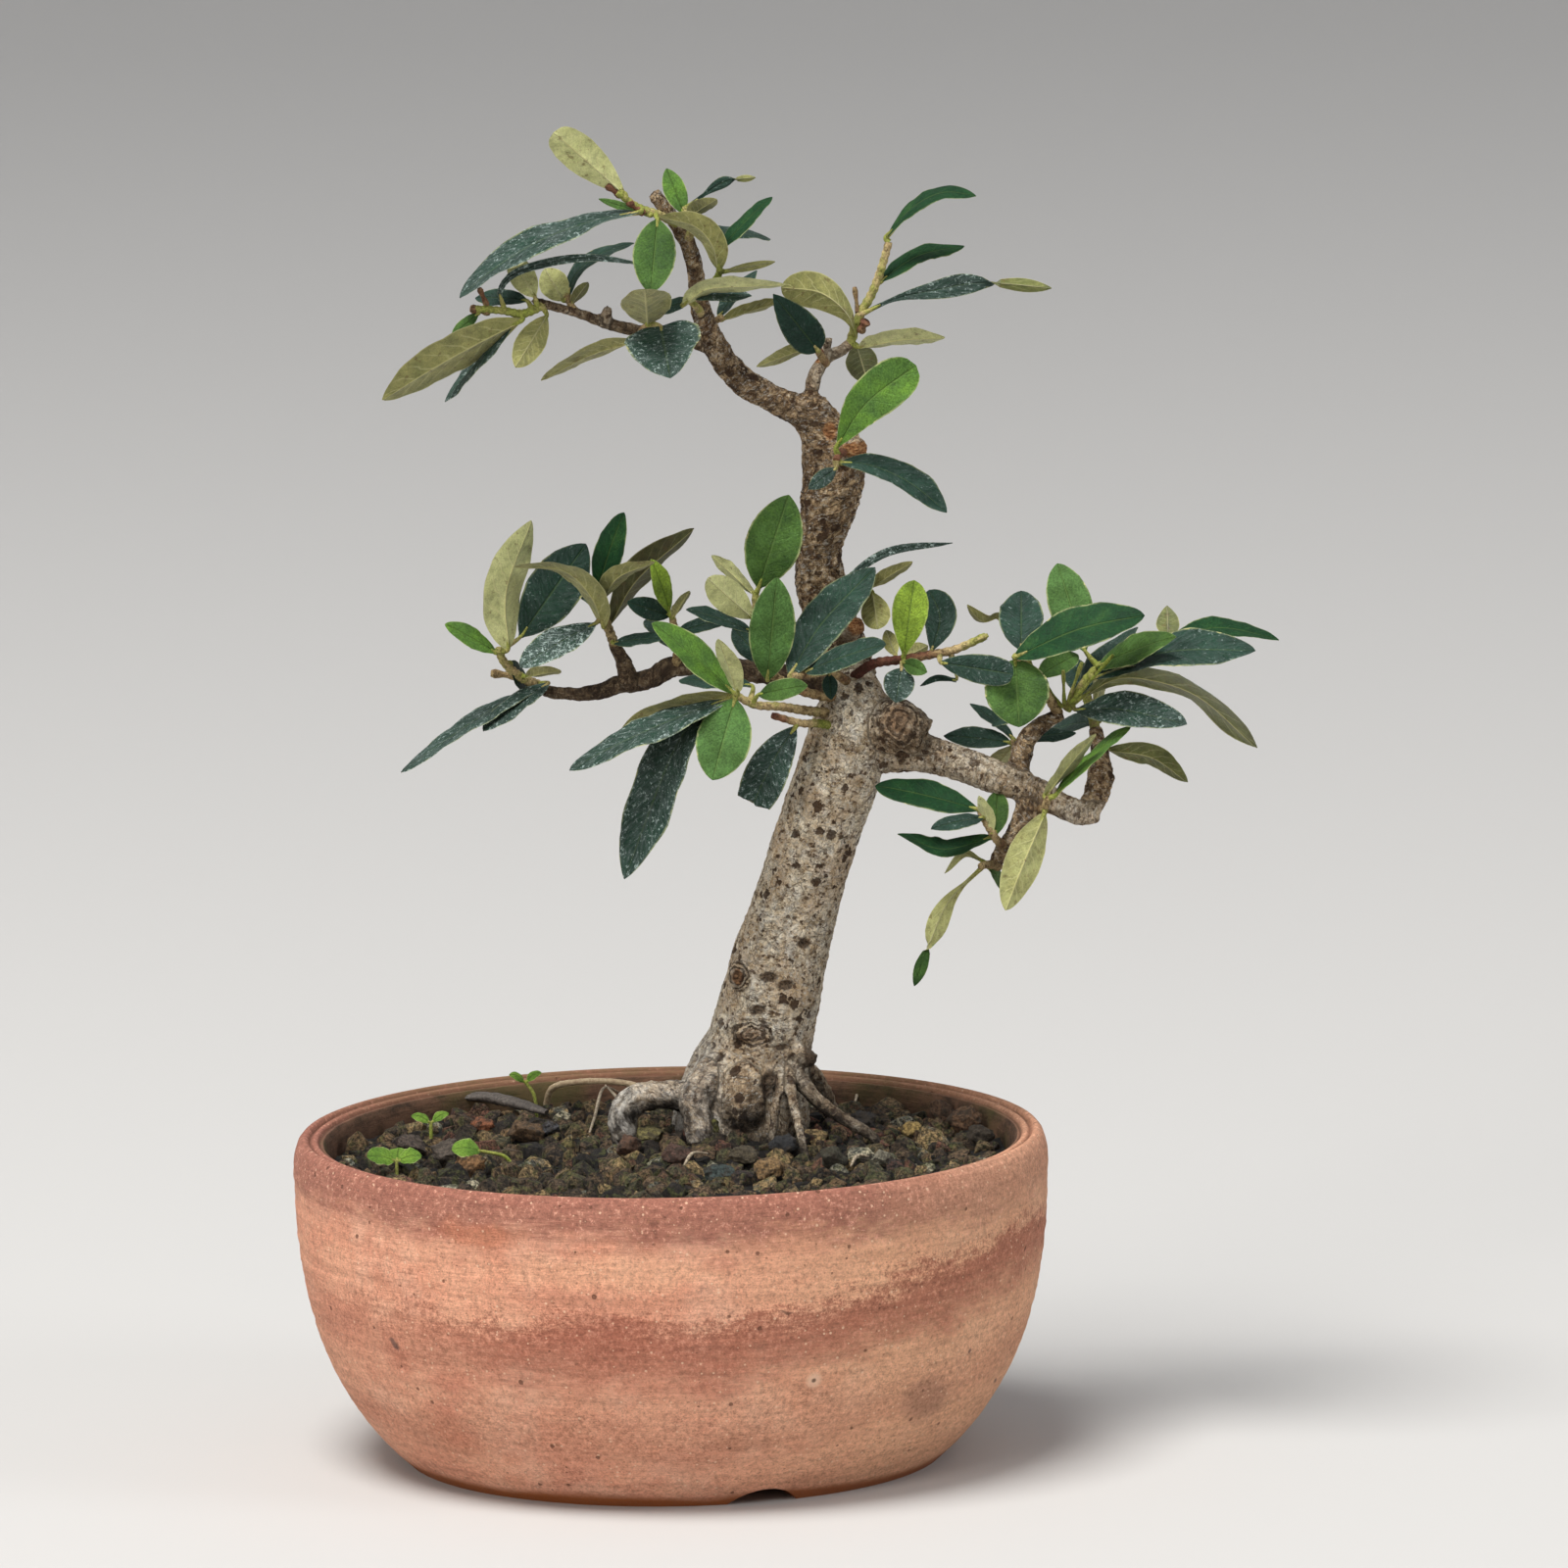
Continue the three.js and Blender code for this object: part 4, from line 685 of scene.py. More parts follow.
    # Healed knots have broken dark rings round them.
    uneven = spread(tree, place, 3, 3, 0.6)
    broken = ramp(tree, fibres, [(0.42, 1), (0.62, 0.55)])
    rings = 0.0
    for px, py, depth, half_width, half_height in RINGED_KNOTS:
        reach = from_spot(tree, place, seen(px, py, depth), half_width, half_height)
        bent = sums(tree, "MULTIPLY_ADD", uneven, 1.1, reach)
        wave = sums(tree, "MULTIPLY_ADD", sums(tree, "SINE", times(tree, bent, 17.0)), 0.5, 0.5)
        line = times(tree, ramp(tree, wave, [(0.3, 1), (0.7, 0)]), broken)
        line = times(tree, line, ramp(tree, times(tree, reach, 0.5), [(0.5, 0.95), (0.63, 0)]))
        rings = sums(tree, "MAXIMUM", line, rings)
        colour = blended(tree, ramp(tree, reach, [(0.3, 0.6), (0.9, 0)]), colour, (0.3, 0.18, 0.1))
    colour = blended(tree, rings, colour, (0.05, 0.03, 0.018))
    # Hollows are filled with dark brown: old wound wood in the scars, and painted shade in the gaps at the
    # root flare.
    ragged = plus(tree, carried(tree, "hollow"), sums(tree, "MULTIPLY_ADD", fibres, 0.9, -0.45))
    scar_and_gap_shade = ramp(tree, fine, [(0.4, 0.03, 0.018, 0.011), (0.62, 0.19, 0.12, 0.07)])
    colour = blended(tree, ramp(tree, ragged, [(0.14, 0), (0.22, 0.5), (0.36, 0.9)]), colour, scar_and_gap_shade)
    # The roots are ashen above the grit and blackened where they meet it; painted shade also blackens the
    # wood's undersides low on the trunk and roots.
    ash = ramp(tree, fibres, [(0.36, 0.05, 0.045, 0.04), (0.46, 0.34, 0.32, 0.29), (0.57, 0.74, 0.71, 0.66)])
    colour = marked(tree, colour, carried(tree, "ashen"), ramp(tree, clouds, [(0.4, 0.8), (0.6, 0.3)]), ash)
    soil_and_shade_strength = ramp(tree, fibres, [(0.45, 0.97), (0.62, 0.5)])
    colour = marked(tree, colour, carried(tree, "soiled"), soil_and_shade_strength, (0.022, 0.018, 0.015))
    relief = layered(
        tree, (fibres, 1.3), (fine, 0.4), (pit, -0.5), (crack, -0.35), (crease, -0.4), (plate_gap, -0.5),
        (chalky, 0.3), (rings, -0.5),
    )
    finish_shader(tree, shader, colour, ramp(tree, fibres, [(0, 0.95), (1, 0.8)]), relief, 0.8, gloss=0.2)
    return material


# A broken branch's row: pixel, depth, half width and half height in millimetres of the bare wood.
TORN_WOOD = [
    (873, 458, 12, 4.2, 2.2), (847, 440, 13, 1.8, 2.6), (834, 367, 16, 1.5, 1.3), (876, 638, 13, 3, 3),
    (753, 998, 10, 1.6, 2.4),
]
NODE_SPACING = 6.5
RING_SPACING = 1.2
SIDE_WIDTH = 0.9
KNOBBLY_FROM = 0.6
wood_points, wood_faces = [], []
limb_lines = []
draw = random.Random(11)


def add_lump(centre, size):
    form = bmesh.new()
    bmesh.ops.create_icosphere(form, subdivisions=2, radius=1)
    start = len(wood_points)
    wood_points.extend(centre + vertex.co * size for vertex in form.verts)
    wood_faces.extend([start + vertex.index for vertex in face.verts] for face in form.faces)
    form.free()


for flakiness, darkness, rows in WOOD.values():
    knots = [(*seen(px, py, depth), radius * MM) for px, py, depth, radius in rows]
    length = sum(math.dist(a[:3], b[:3]) for a, b in zip(knots, knots[1:])) / MM
    path = smooth_path(knots, max(4, round(length / RING_SPACING)))
    sides = max(14, round(2 * math.pi * path[:, 3].max() / MM / SIDE_WIDTH))
    points, faces = tube(path[:, :3], path[:, 3], sides)
    start = len(wood_points)
    wood_points += points
    wood_faces += [[start + corner for corner in face] for face in faces]
    limb_lines.append((flakiness, darkness, path))
    # Old leaf and twig scars stand out of the rough stretches as small knobs.
    for _ in range(round(length / NODE_SPACING * 2) if flakiness > KNOBBLY_FROM else 0):
        x, y, z, girth = path[draw.randrange(2, max(3, len(path) - 1))]
        away = Vector((draw.uniform(-1, 1), draw.uniform(-1, 1), draw.uniform(-1, 1))).normalized()
        knob = draw.uniform(0.28, 0.5) * max(girth, 1.4 * MM)
        centre = Vector((x, y, z)) + away * max(0.2 * girth, girth - 0.5 * knob)
        squashed = Vector((draw.uniform(0.8, 1.2), draw.uniform(0.8, 1.2), draw.uniform(0.7, 1)))
        add_lump(centre, squashed * knob)
for px, py, depth, size in WOOD_LUMPS:
    add_lump(seen(px, py, depth), Vector(size) * MM)
wood = new_piece("wood_body", wood_points, wood_faces, [])
remesh = wood.modifiers.new("one_body", "REMESH")
remesh.mode = "VOXEL"
remesh.voxel_size = BARK_GRAIN * MM
soften = wood.modifiers.new("soften", "SMOOTH")
soften.factor = 0.6
soften.iterations = 4
baked(wood)

BARK_RIDGE = 0.6
BARK_SWELL = 0.34
BARK_CRUMB = 0.2
SCAR_DEPTH = 1.1
FULL_RELIEF_GIRTH = 4.5
LIMB_BLEND = 0.7


def vectors_of(vertices, name):
    """Three numbers for each vertex, as rows."""
    values = np.empty(len(vertices) * 3)
    vertices.foreach_get(name, values)
    return values.reshape(-1, 3)


coordinates = vectors_of(wood.data.vertices, "co")
normals = vectors_of(wood.data.vertices, "normal")
every = np.arange(len(coordinates))
clearances, girths, grains_along = [], [], []
for number, (_, _, path) in enumerate(limb_lines):
    apart = np.linalg.norm(coordinates[:, None, :] - path[None, :, :3], axis=2) - path[None, :, 3]
    nearest = apart.argmin(axis=1)
    clearances.append(apart[every, nearest])
    girths.append(path[nearest, 3])
    ahead = np.gradient(path[:, :3], axis=0)
    ahead /= np.linalg.norm(ahead, axis=1)[:, None]
    reach = np.concatenate([[0], np.cumsum(np.linalg.norm(np.diff(path[:, :3], axis=0), axis=1))])
    mean_ahead = Vector(path[-1, :3]) - Vector(path[0, :3])
    upright = np.array(mean_ahead.rotation_difference(Vector((0, 0, 1))).to_matrix())
    offset = coordinates - path[nearest, :3]
    lengthwise = (offset * ahead[nearest]).sum(axis=1)
    sideways = (offset - lengthwise[:, None] * ahead[nearest]) @ upright.T
    sideways[:, 2] += reach[nearest] + lengthwise + 0.07 * number
    grains_along.append(sideways)
clearances = np.array(clearances)
bark_grain = np.array(grains_along)[clearances.argmin(axis=0), every]
weights = np.exp(-(clearances - clearances.min(axis=0)) / (LIMB_BLEND * MM))
weights /= weights.sum(axis=0)
flaky = (weights * np.array([line[0] for line in limb_lines])[:, None]).sum(axis=0)
dark = (weights * np.array([line[1] for line in limb_lines])[:, None]).sum(axis=0)
girth = (weights * np.array(girths)).sum(axis=0)


def below(top, fade):
    """0 above a height in millimetres, rising to 1 where the wood is a fade below it."""
    return np.clip((top - coordinates[:, 2] / MM) / fade, 0, 1)


flaky = np.clip(flaky + 0.22 * below(104, 22), 0, 1)
# Painted shade: wood that faces down, below 94 mm, is blackened like the wood at the grit.
underside_shade = np.clip(0.55 - normals[:, 2] * 1.4, 0, 1)
soiled = np.maximum(below(77, 5), below(94, 12) * underside_shade)
ashen = below(99, 10) * np.clip((seen(742, 1120, 12).x - coordinates[:, 0]) / (4 * MM), 0.1, 1)
hollow = np.zeros(len(every))
for px, py, depth, half_width, half_height, hole in SCARS:
    offset = (coordinates - np.array(seen(px, py, depth))) / MM
    reach = (offset[:, 0] / half_width) ** 2 + (offset[:, 1] / (2 * half_width)) ** 2
    reach += (offset[:, 2] / half_height) ** 2
    hollow = np.maximum(hollow, hole * np.exp(-1.4 * reach))
roughness = (flaky + 0.25 * below(108, 24)) * BARK_RIDGE
relief = np.empty(len(every))
for number, point in enumerate(coordinates):
    spot = Vector(point) / MM
    furrowed = Vector((spot.x / 2.9, spot.y / 2.9, spot.z / 3.6))
    ridges = noise.ridged_multi_fractal(furrowed, 0.9, 2.1, 4, 1.0, 2.0) - 1.1
    crumb = noise.fractal(spot / 1.1, 0.8, 2.0, 3)
    relief[number] = roughness[number] * ridges + BARK_SWELL * noise.noise(spot / 7) + BARK_CRUMB * crumb
relief *= np.clip(girth / (FULL_RELIEF_GIRTH * MM), 0.45, 1)
relief -= hollow * SCAR_DEPTH
coordinates += normals * (relief * MM)[:, None]
wood.data.vertices.foreach_set("co", coordinates.ravel())
set_shares(wood, flaky=flaky, dark=dark, hollow=hollow, soiled=soiled, ashen=ashen)
set_vectors(wood, "grain", bark_grain)
wood.data.materials.clear()
wood.data.materials.append(bark())
shade_smooth(wood, 80)
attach(wood, "root")
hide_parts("wood")

# Soil
# A bed of crushed lava, pumice and bark grit fills the bowl to just under its lip. Loose grains of
# all sizes lie on it, some of them mossy.

SOIL_LEVEL = 70.3
SOIL_MOUND = 4.6
SOIL_MOUND_RADIUS = 26
SOIL_MOUND_X = 19
SOIL_MOUND_Y = 22
SOIL_EDGE = 79.0
GRAIN_SHAPES = 12


def soil_height(x, y):
    """Height in millimetres of the soil at a place in millimetres from the bowl's axis."""
    reach = math.hypot(x - SOIL_MOUND_X, y - SOIL_MOUND_Y) / SOIL_MOUND_RADIUS
    return SOIL_LEVEL + SOIL_MOUND * math.exp(-reach * reach)


def on_soil(px, py, lift=0.0):
    """The point on the soil that shows at a pixel, raised by a lift in millimetres."""
    height = SOIL_LEVEL
    for _ in range(4):
        point = seen_at_height(px, py, height * MM)
        height = soil_height((point.x - bowl_axis.x) / MM, (point.y - bowl_axis.y) / MM)
    return point + Vector((0, 0, lift * MM))


def crushed_stone(name, palette, moss_amount, roughness):
    material, tree, shader = new_material(name)
    place = object_place(tree)
    kind = carried(tree, "kind")
    pores = spread(tree, place, 0.8, 5, 0.8)
    clouds = spread(tree, place, 2.6, 4, 0.65)
    tones = spread(tree, place, 1.9, 3, 0.6, shift=(4, 4, 4))
    colour = ramp(tree, plus(tree, kind, sums(tree, "MULTIPLY_ADD", tones, 0.24, -0.12)), palette)
    colour = shaded(tree, colour, 1.0, pores, [(0.38, 0.05), (0.48, 0.7), (0.6, 2.4)])
    moss = times(tree, ramp(tree, clouds, [(0.52, 0), (0.6, 1)]), moss_amount)
    green = ramp(tree, pores, [(0.4, 0.02, 0.024, 0.008), (0.62, 0.17, 0.18, 0.05)])
    colour = blended(tree, moss, colour, green)
    relief = plus(tree, pores, times(tree, clouds, 0.8))
    damp = ramp(tree, pores, [(0, roughness), (1, 0.95)])
    finish_shader(tree, shader, colour, damp, relief, 1.6, gloss=0.35)
    return material


bed_rings, bed_turns = 60, 160
bed_points = [bowl_axis + Vector((0, 0, soil_height(0, 0) * MM))]
for ring in range(1, bed_rings + 1):
    radius = SOIL_EDGE * ring / bed_rings
    for turn in range(bed_turns):
        angle = turn / bed_turns * 2 * math.pi
        x, y = radius * math.cos(angle), radius * math.sin(angle)
        crumble = 1.3 * noise.fractal(Vector((x / 5, y / 5, 0)), 0.7, 2.0, 4) - 1.6
        bed_points.append(bowl_axis + Vector((x, y, soil_height(x, y) + crumble)) * MM)
bed_sides = [(radius - 0.5, height + 0.3) for radius, height in smooth_path(BOWL_INSIDE, 12)[1:]]
for radius, height in bed_sides:
    for turn in range(bed_turns):
        angle = turn / bed_turns * 2 * math.pi
        x, y = radius * math.cos(angle), radius * math.sin(angle)
        bed_points.append(bowl_axis + Vector((x, y, height)) * MM)
bed_points.append(bowl_axis + Vector((0, 0, (FLOOR_TOP + 0.3) * MM)))
bed_faces = []
for turn in range(bed_turns):
    after = (turn + 1) % bed_turns
    bed_faces.append((0, 1 + turn, 1 + after))
    for ring in range(bed_rings + len(bed_sides) - 1):
        near, far = 1 + ring * bed_turns, 1 + (ring + 1) * bed_turns
        bed_faces.append((near + turn, far + turn, far + after, near + after))
    last = 1 + (bed_rings + len(bed_sides) - 1) * bed_turns
    bed_faces.append((last + turn, len(bed_points) - 1, last + after))
# The bed under the loose grains is near black: dark damp crumbs, and painted shade in the gaps between the
# grains.
soil_bed = new_piece("soil_bed", bed_points, bed_faces, [
    crushed_stone("damp_crumbs_and_gap_shade", [(0, 0.008, 0.006, 0.005), (1, 0.03, 0.02, 0.014)], 0.25, 0.75),
])
shade_smooth(soil_bed, 60)
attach(soil_bed, "root")
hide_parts("soil")


def drawn(tree, kind, **inputs):
    """A random value of a kind such as FLOAT, with its own Min, Max and Seed."""
    made = node(tree, "FunctionNodeRandomValue", inputs, data_type=kind)
    return next(socket for socket in made.outputs if socket.enabled)


def scaled_by(tree, vector, amount):
    return node(tree, "ShaderNodeVectorMath", {0: vector, "Scale": amount}, operation="SCALE").outputs[0]


def grain_tree(name, material, corners):
    """Geometry nodes that strew angular grains over a surface, each one of a dozen broken shapes."""
    tree = bpy.data.node_groups.new(name, "GeometryNodeTree")
    sockets = [("Ground", "Geometry"), ("Smallest", "Float"), ("Largest", "Float"), ("Spacing", "Float"),
               ("Density", "Float"), ("Seed", "Int")]
    for label, kind in sockets:
        tree.interface.new_socket(label, in_out="INPUT", socket_type="NodeSocket" + kind)
    tree.interface.new_socket("Grains", in_out="OUTPUT", socket_type="NodeSocketGeometry")
    given = node(tree, "NodeGroupInput").outputs
    shapes = node(tree, "GeometryNodeGeometryToInstance")
    for shape in range(GRAIN_SHAPES):
        corner = drawn(tree, "FLOAT_VECTOR", Min=(-1.0, -1.0, -1.0), Max=(1.0, 1.0, 1.0), Seed=shape * 13 + 5)
        pushed = node(tree, "ShaderNodeVectorMath", {0: corner}, operation="NORMALIZE").outputs[0]
        reach = drawn(tree, "FLOAT", Min=0.78, Max=1.08, Seed=shape * 7 + 2)
        moved = scaled_by(tree, pushed, reach)
        cloud = node(tree, "GeometryNodePoints", {"Count": corners, "Position": moved}).outputs[0]
        hull = node(tree, "GeometryNodeConvexHull", {0: cloud}).outputs[0]
        tree.links.new(hull, shapes.inputs[0])
    scattered = node(tree, "GeometryNodeDistributePointsOnFaces", {
        "Mesh": given["Ground"], "Distance Min": given["Spacing"], "Density Max": given["Density"],
        "Seed": given["Seed"],
    }, distribute_method="POISSON")
    turn = drawn(tree, "FLOAT_VECTOR", Max=(6.28, 6.28, 6.28), Seed=given["Seed"])
    stretch = drawn(tree, "FLOAT_VECTOR", Min=(0.75, 0.7, 0.55), Max=(1.2, 1.0, 0.9), Seed=given["Seed"])
    skewed = sums(tree, "POWER", drawn(tree, "FLOAT", Seed=77), 1.7)
    size = node(tree, "ShaderNodeMapRange", {
        "Value": skewed, "To Min": given["Smallest"], "To Max": given["Largest"],
    }).outputs[0]
    placed = node(tree, "GeometryNodeInstanceOnPoints", {
        "Points": scattered.outputs["Points"], "Instance": shapes.outputs[0], "Pick Instance": True,
        "Instance Index": drawn(tree, "INT", Max=GRAIN_SHAPES - 1, Seed=31), "Rotation": turn,
        "Scale": scaled_by(tree, stretch, size),
    })
    marked_grains = node(tree, "GeometryNodeStoreNamedAttribute", {
        "Geometry": placed.outputs["Instances"], "Name": "kind",
        "Value": drawn(tree, "FLOAT", Seed=given["Seed"]),
    }, domain="INSTANCE", data_type="FLOAT")
    real = node(tree, "GeometryNodeRealizeInstances", {"Geometry": marked_grains.outputs[0]})
    covered = node(tree, "GeometryNodeSetMaterial", {"Geometry": real.outputs[0], "Material": material})
    tree.links.new(covered.outputs[0], node(tree, "NodeGroupOutput").inputs[0])
    return tree


def strewn(name, ground, tree, values):
    """Makes a plain mesh of what the geometry nodes strew over a ground."""
    piece = bpy.data.objects.new(name, ground.copy())
    bpy.context.scene.collection.objects.link(piece)
    modifier = piece.modifiers.new("strew", "NODES")
    modifier.node_group = tree
    for item in tree.interface.items_tree:
        if item.in_out == "INPUT" and item.name in values:
            modifier[item.identifier] = values[item.name]
    baked(piece)
    shade_smooth(piece, 20)
    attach(piece, "root")


ground_points = bed_points[:1 + (bed_rings - 2) * bed_turns]
ground_faces = [face for face in bed_faces if max(face) < len(ground_points)]
ground = bpy.data.meshes.new("ground")
ground.from_pydata([tuple(point) for point in ground_points], [], ground_faces)
grit_colours = [
    (0.0, 0.01, 0.008, 0.007), (0.16, 0.04, 0.028, 0.018), (0.3, 0.13, 0.082, 0.045),
    (0.4, 0.014, 0.012, 0.011),
    (0.52, 0.17, 0.105, 0.05), (0.62, 0.05, 0.05, 0.026), (0.72, 0.13, 0.055, 0.034),
    (0.8, 0.02, 0.018, 0.017),
    (0.9, 0.28, 0.19, 0.085), (0.95, 0.08, 0.088, 0.075), (1.0, 0.36, 0.32, 0.22),
]
grit_stone = crushed_stone("crushed_lava", grit_colours, 0.6, 0.6)
strewn("grit_grains", ground, grain_tree("grit", grit_stone, 22), {
    "Smallest": 2.1 * MM, "Largest": 4.9 * MM, "Spacing": 3.6 * MM, "Density": 120000.0, "Seed": 4,
})
# Painted shade: the small crumbs in the gaps between the grains take the grit's colours at 0.55 of their
# brightness.
shaded_crumb_colours = [(place, *(0.55 * part for part in colour)) for place, *colour in grit_colours]
crumb_stone = crushed_stone("crumbled_lava", shaded_crumb_colours, 0.6, 0.7)
strewn("grit_crumbs", ground, grain_tree("crumbs", crumb_stone, 13), {
    "Smallest": 0.5 * MM, "Largest": 1.7 * MM, "Spacing": 2.0 * MM, "Density": 200000.0, "Seed": 9,
})

# Stones, wood chip and rootlets
# A few larger stones of other colours, a strip of dark wood and some pale dead rootlets lie on the grit.
# A stone's row: pixel, radius in millimetres and colour.

STONES = [
    (662, 1162, 3.7, (0.2, 0.17, 0.06)), (725, 1155, 3.8, (0.14, 0.135, 0.035)),
    (783, 1198, 3.7, (0.28, 0.17, 0.07)),
    (735, 1203, 3.7, (0.05, 0.07, 0.065)), (900, 1186, 2.8, (0.24, 0.22, 0.16)),
    (930, 1157, 2.8, (0.42, 0.29, 0.1)),
    (480, 1195, 4.2, (0.27, 0.14, 0.055)), (799, 1172, 3.6, (0.03, 0.03, 0.032)),
    (420, 1176, 4.0, (0.09, 0.065, 0.05)),
    (536, 1163, 4.6, (0.13, 0.075, 0.035)), (455, 1183, 4.4, (0.11, 0.085, 0.065)),
    (492, 1152, 2.6, (0.3, 0.11, 0.05)),
    (560, 1158, 3.0, (0.09, 0.09, 0.1)), (640, 1176, 3.6, (0.12, 0.06, 0.035)),
    (690, 1186, 4.0, (0.1, 0.05, 0.035)),
    (850, 1190, 3.8, (0.055, 0.05, 0.03)), (985, 1150, 4.4, (0.15, 0.08, 0.04)),
    (960, 1140, 3.6, (0.12, 0.065, 0.035)),
    (1000, 1163, 3.8, (0.06, 0.045, 0.03)), (880, 1150, 3.4, (0.03, 0.026, 0.024)),
    (760, 1184, 3.4, (0.09, 0.07, 0.04)),
]
ROOTLETS = [
    [(632, 1117, 0.5), (618, 1124, 3.5), (607, 1146, 1.5), (600, 1162, 0.2)],
    [(618, 1120, 3), (632, 1140, 3.5), (634, 1160, 1.2)],
    [(740, 1130, 4), (742, 1144, 1.5), (738, 1158, 0.5)],
    [(697, 1193, 0.5), (708, 1186, 2.2), (722, 1183, 1.4)],
    [(858, 1118, 1), (866, 1112, 2.6), (874, 1118, 1.6), (872, 1130, 0.6)],
    [(868, 1192, 0.5), (876, 1186, 1.6), (888, 1184, 0.8)],
]
CHIP = [(464, 1130, 2.4), (492, 1131, 2.8), (524, 1136, 2.6), (558, 1142, 1.6)]

stone_points, stone_faces, stone_colours = [], [], []
for number, (px, py, radius, colour) in enumerate(STONES):
    form = bmesh.new()
    draw = random.Random(number)
    stretch = Vector((draw.uniform(1.0, 1.3), draw.uniform(0.85, 1.05), draw.uniform(0.7, 0.9)))
    turn = Quaternion((0, 0, 1), draw.uniform(0, 6.28)) @ Quaternion((1, 0, 0), draw.uniform(-0.5, 0.5))
    centre = on_soil(px, py, radius * 0.35)
    for corner in range(20):
        spot = Vector((draw.gauss(0, 1), draw.gauss(0, 1), draw.gauss(0, 1))).normalized()
        form.verts.new(spot * draw.uniform(0.85, 1.1))
    bmesh.ops.convex_hull(form, input=form.verts)
    bmesh.ops.subdivide_edges(form, edges=form.edges, cuts=3, use_grid_fill=True)
    bmesh.ops.smooth_vert(
        form, verts=form.verts, factor=0.5, use_axis_x=True, use_axis_y=True, use_axis_z=True
    )
    bmesh.ops.subdivide_edges(form, edges=form.edges, cuts=1, use_grid_fill=True)
    form.verts.index_update()
    start = len(stone_points)
    for vertex in form.verts:
        swell = 1 + 0.17 * noise.fractal(vertex.co * 2.4 + Vector((0, number, 0)), 0.7, 2, 4)
        stone_points.append(centre + turn @ (vertex.co * swell * stretch) * radius * MM)
        stone_colours.append(colour)
    stone_faces += [[start + vertex.index for vertex in face.verts] for face in form.faces]
    form.free()


def tinted_stone():
    material, tree, shader = new_material("weathered_stone")
    place = object_place(tree)
    tint = carried(tree, "tint", "Vector")
    pores = spread(tree, place, 0.7, 5, 0.8)
    clouds = spread(tree, place, 2.4, 4, 0.65)
    colour = shaded(tree, tint, 1.0, pores, [(0.36, 0.15), (0.48, 0.85), (0.62, 1.7)])
    colour = blended(tree, ramp(tree, clouds, [(0.48, 0), (0.6, 0.8)]), colour, (0.045, 0.032, 0.02))
    relief = plus(tree, pores, times(tree, clouds, 0.8))
    finish_shader(tree, shader, colour, ramp(tree, pores, [(0, 0.8), (1, 0.95)]), relief, 1.3)
    return material


stones = new_piece("stones", stone_points, stone_faces, [tinted_stone()])
set_vectors(stones, "tint", stone_colours)
shade_smooth(stones, 50)
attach(stones, "root")


def dead_fibre(name, light, shadow):
    material, tree, shader = new_material(name)
    place = object_place(tree)
    fibres = spread(tree, place, 0.7, 4, 0.7)
    clouds = spread(tree, place, 6, 3, 0.6)
    colour = blended(tree, ramp(tree, fibres, [(0.35, 0), (0.65, 1)]), shadow, light)
    colour = blended(tree, ramp(tree, clouds, [(0.45, 0), (0.7, 0.6)]), colour, shadow)
    finish_shader(tree, shader, colour, ramp(tree, fibres, [(0, 0.8), (1, 0.65)]), fibres, 0.15)
    return material


def thread(lines, radius_mm, sides=8):
    """Thin round threads along smooth lines on the soil, tapering to their ends."""
    points, faces = [], []
    for line in lines:
        path = smooth_path([on_soil(*spot) for spot in line], 26)
        radii = [radius_mm * MM * (0.45 + 0.55 * math.sin(math.pi * step / 25)) for step in range(26)]
        made, sheets = tube(path, radii, sides)
        faces += [[len(points) + corner for corner in face] for face in sheets]
        points += made
    return points, faces


dead_root = dead_fibre("dead_root", (0.5, 0.42, 0.3), (0.12, 0.085, 0.055))
rootlets = new_piece("rootlets", *thread(ROOTLETS, 0.42), [dead_root])
shade_smooth(rootlets, 60)
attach(rootlets, "root")

chip_path = smooth_path([on_soil(*spot) for spot in CHIP], 30)
chip_points, chip_faces = tube(chip_path, [1.6 * MM * math.sin(math.pi * (0.06 + 0.88 * step / 29)) ** 0.5
                                           for step in range(30)], 16)
for number, point in enumerate(chip_points):
    centre = Vector(chip_path[number // 16])
    away = point - centre
    splinter = 1 + 0.25 * noise.noise(Vector((point.x, point.y * 5, point.z * 5)) / MM / 3)
    chip_points[number] = centre + Vector((away.x, away.y * 1.9, away.z * 0.8)) * splinter
wood_chip = new_piece("wood_chip", chip_points, chip_faces,
                      [dead_fibre("rotten_wood", (0.12, 0.1, 0.085), (0.03, 0.024, 0.02))])
shade_smooth(wood_chip, 60)
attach(wood_chip, "root")

# Leafy shoots
# Each young shoot carries leathery leaves on short petioles, dark blue-green above and felted below.
# A blade is folded a little along its rib, waved at its edge, and tapers to both ends.
# A leaf's row: base pixel, tip pixel, seen width in pixels, depths of base and tip, the face that
# shows (1 upper, -1 under), its look, the pixels that its rib passes, and its twist at the tip.

LEAST_WIDTH_BY_LENGTH = 0.38
BLADE_FOLD = 0.2
BLADE_ARCH = 0.025
BLADE_WAVE = 0.035
BLADE_THICKNESS = 0.42
RIB_THICKNESS = 0.5
PETIOLE_RADIUS = 0.55
PETIOLE_STEPS = 16
PETIOLE_SIDES = 8
SHOOT_SIDES = 12
STUB_STEPS = 8
RIB_STEPS = 200
TWIST_SHARE = 0.7
BLADE_STEPS = 27
BLADE_SHARES = np.linspace(0, 1, BLADE_STEPS) * 0.5
BLADE_SHARES += (1 - np.cos(np.linspace(0, math.pi, BLADE_STEPS))) * 0.25
BLADE_ACROSS = (-1, -0.88, -0.66, -0.42, -0.2, -0.07, 0, 0.07, 0.2, 0.42, 0.66, 0.88, 1)

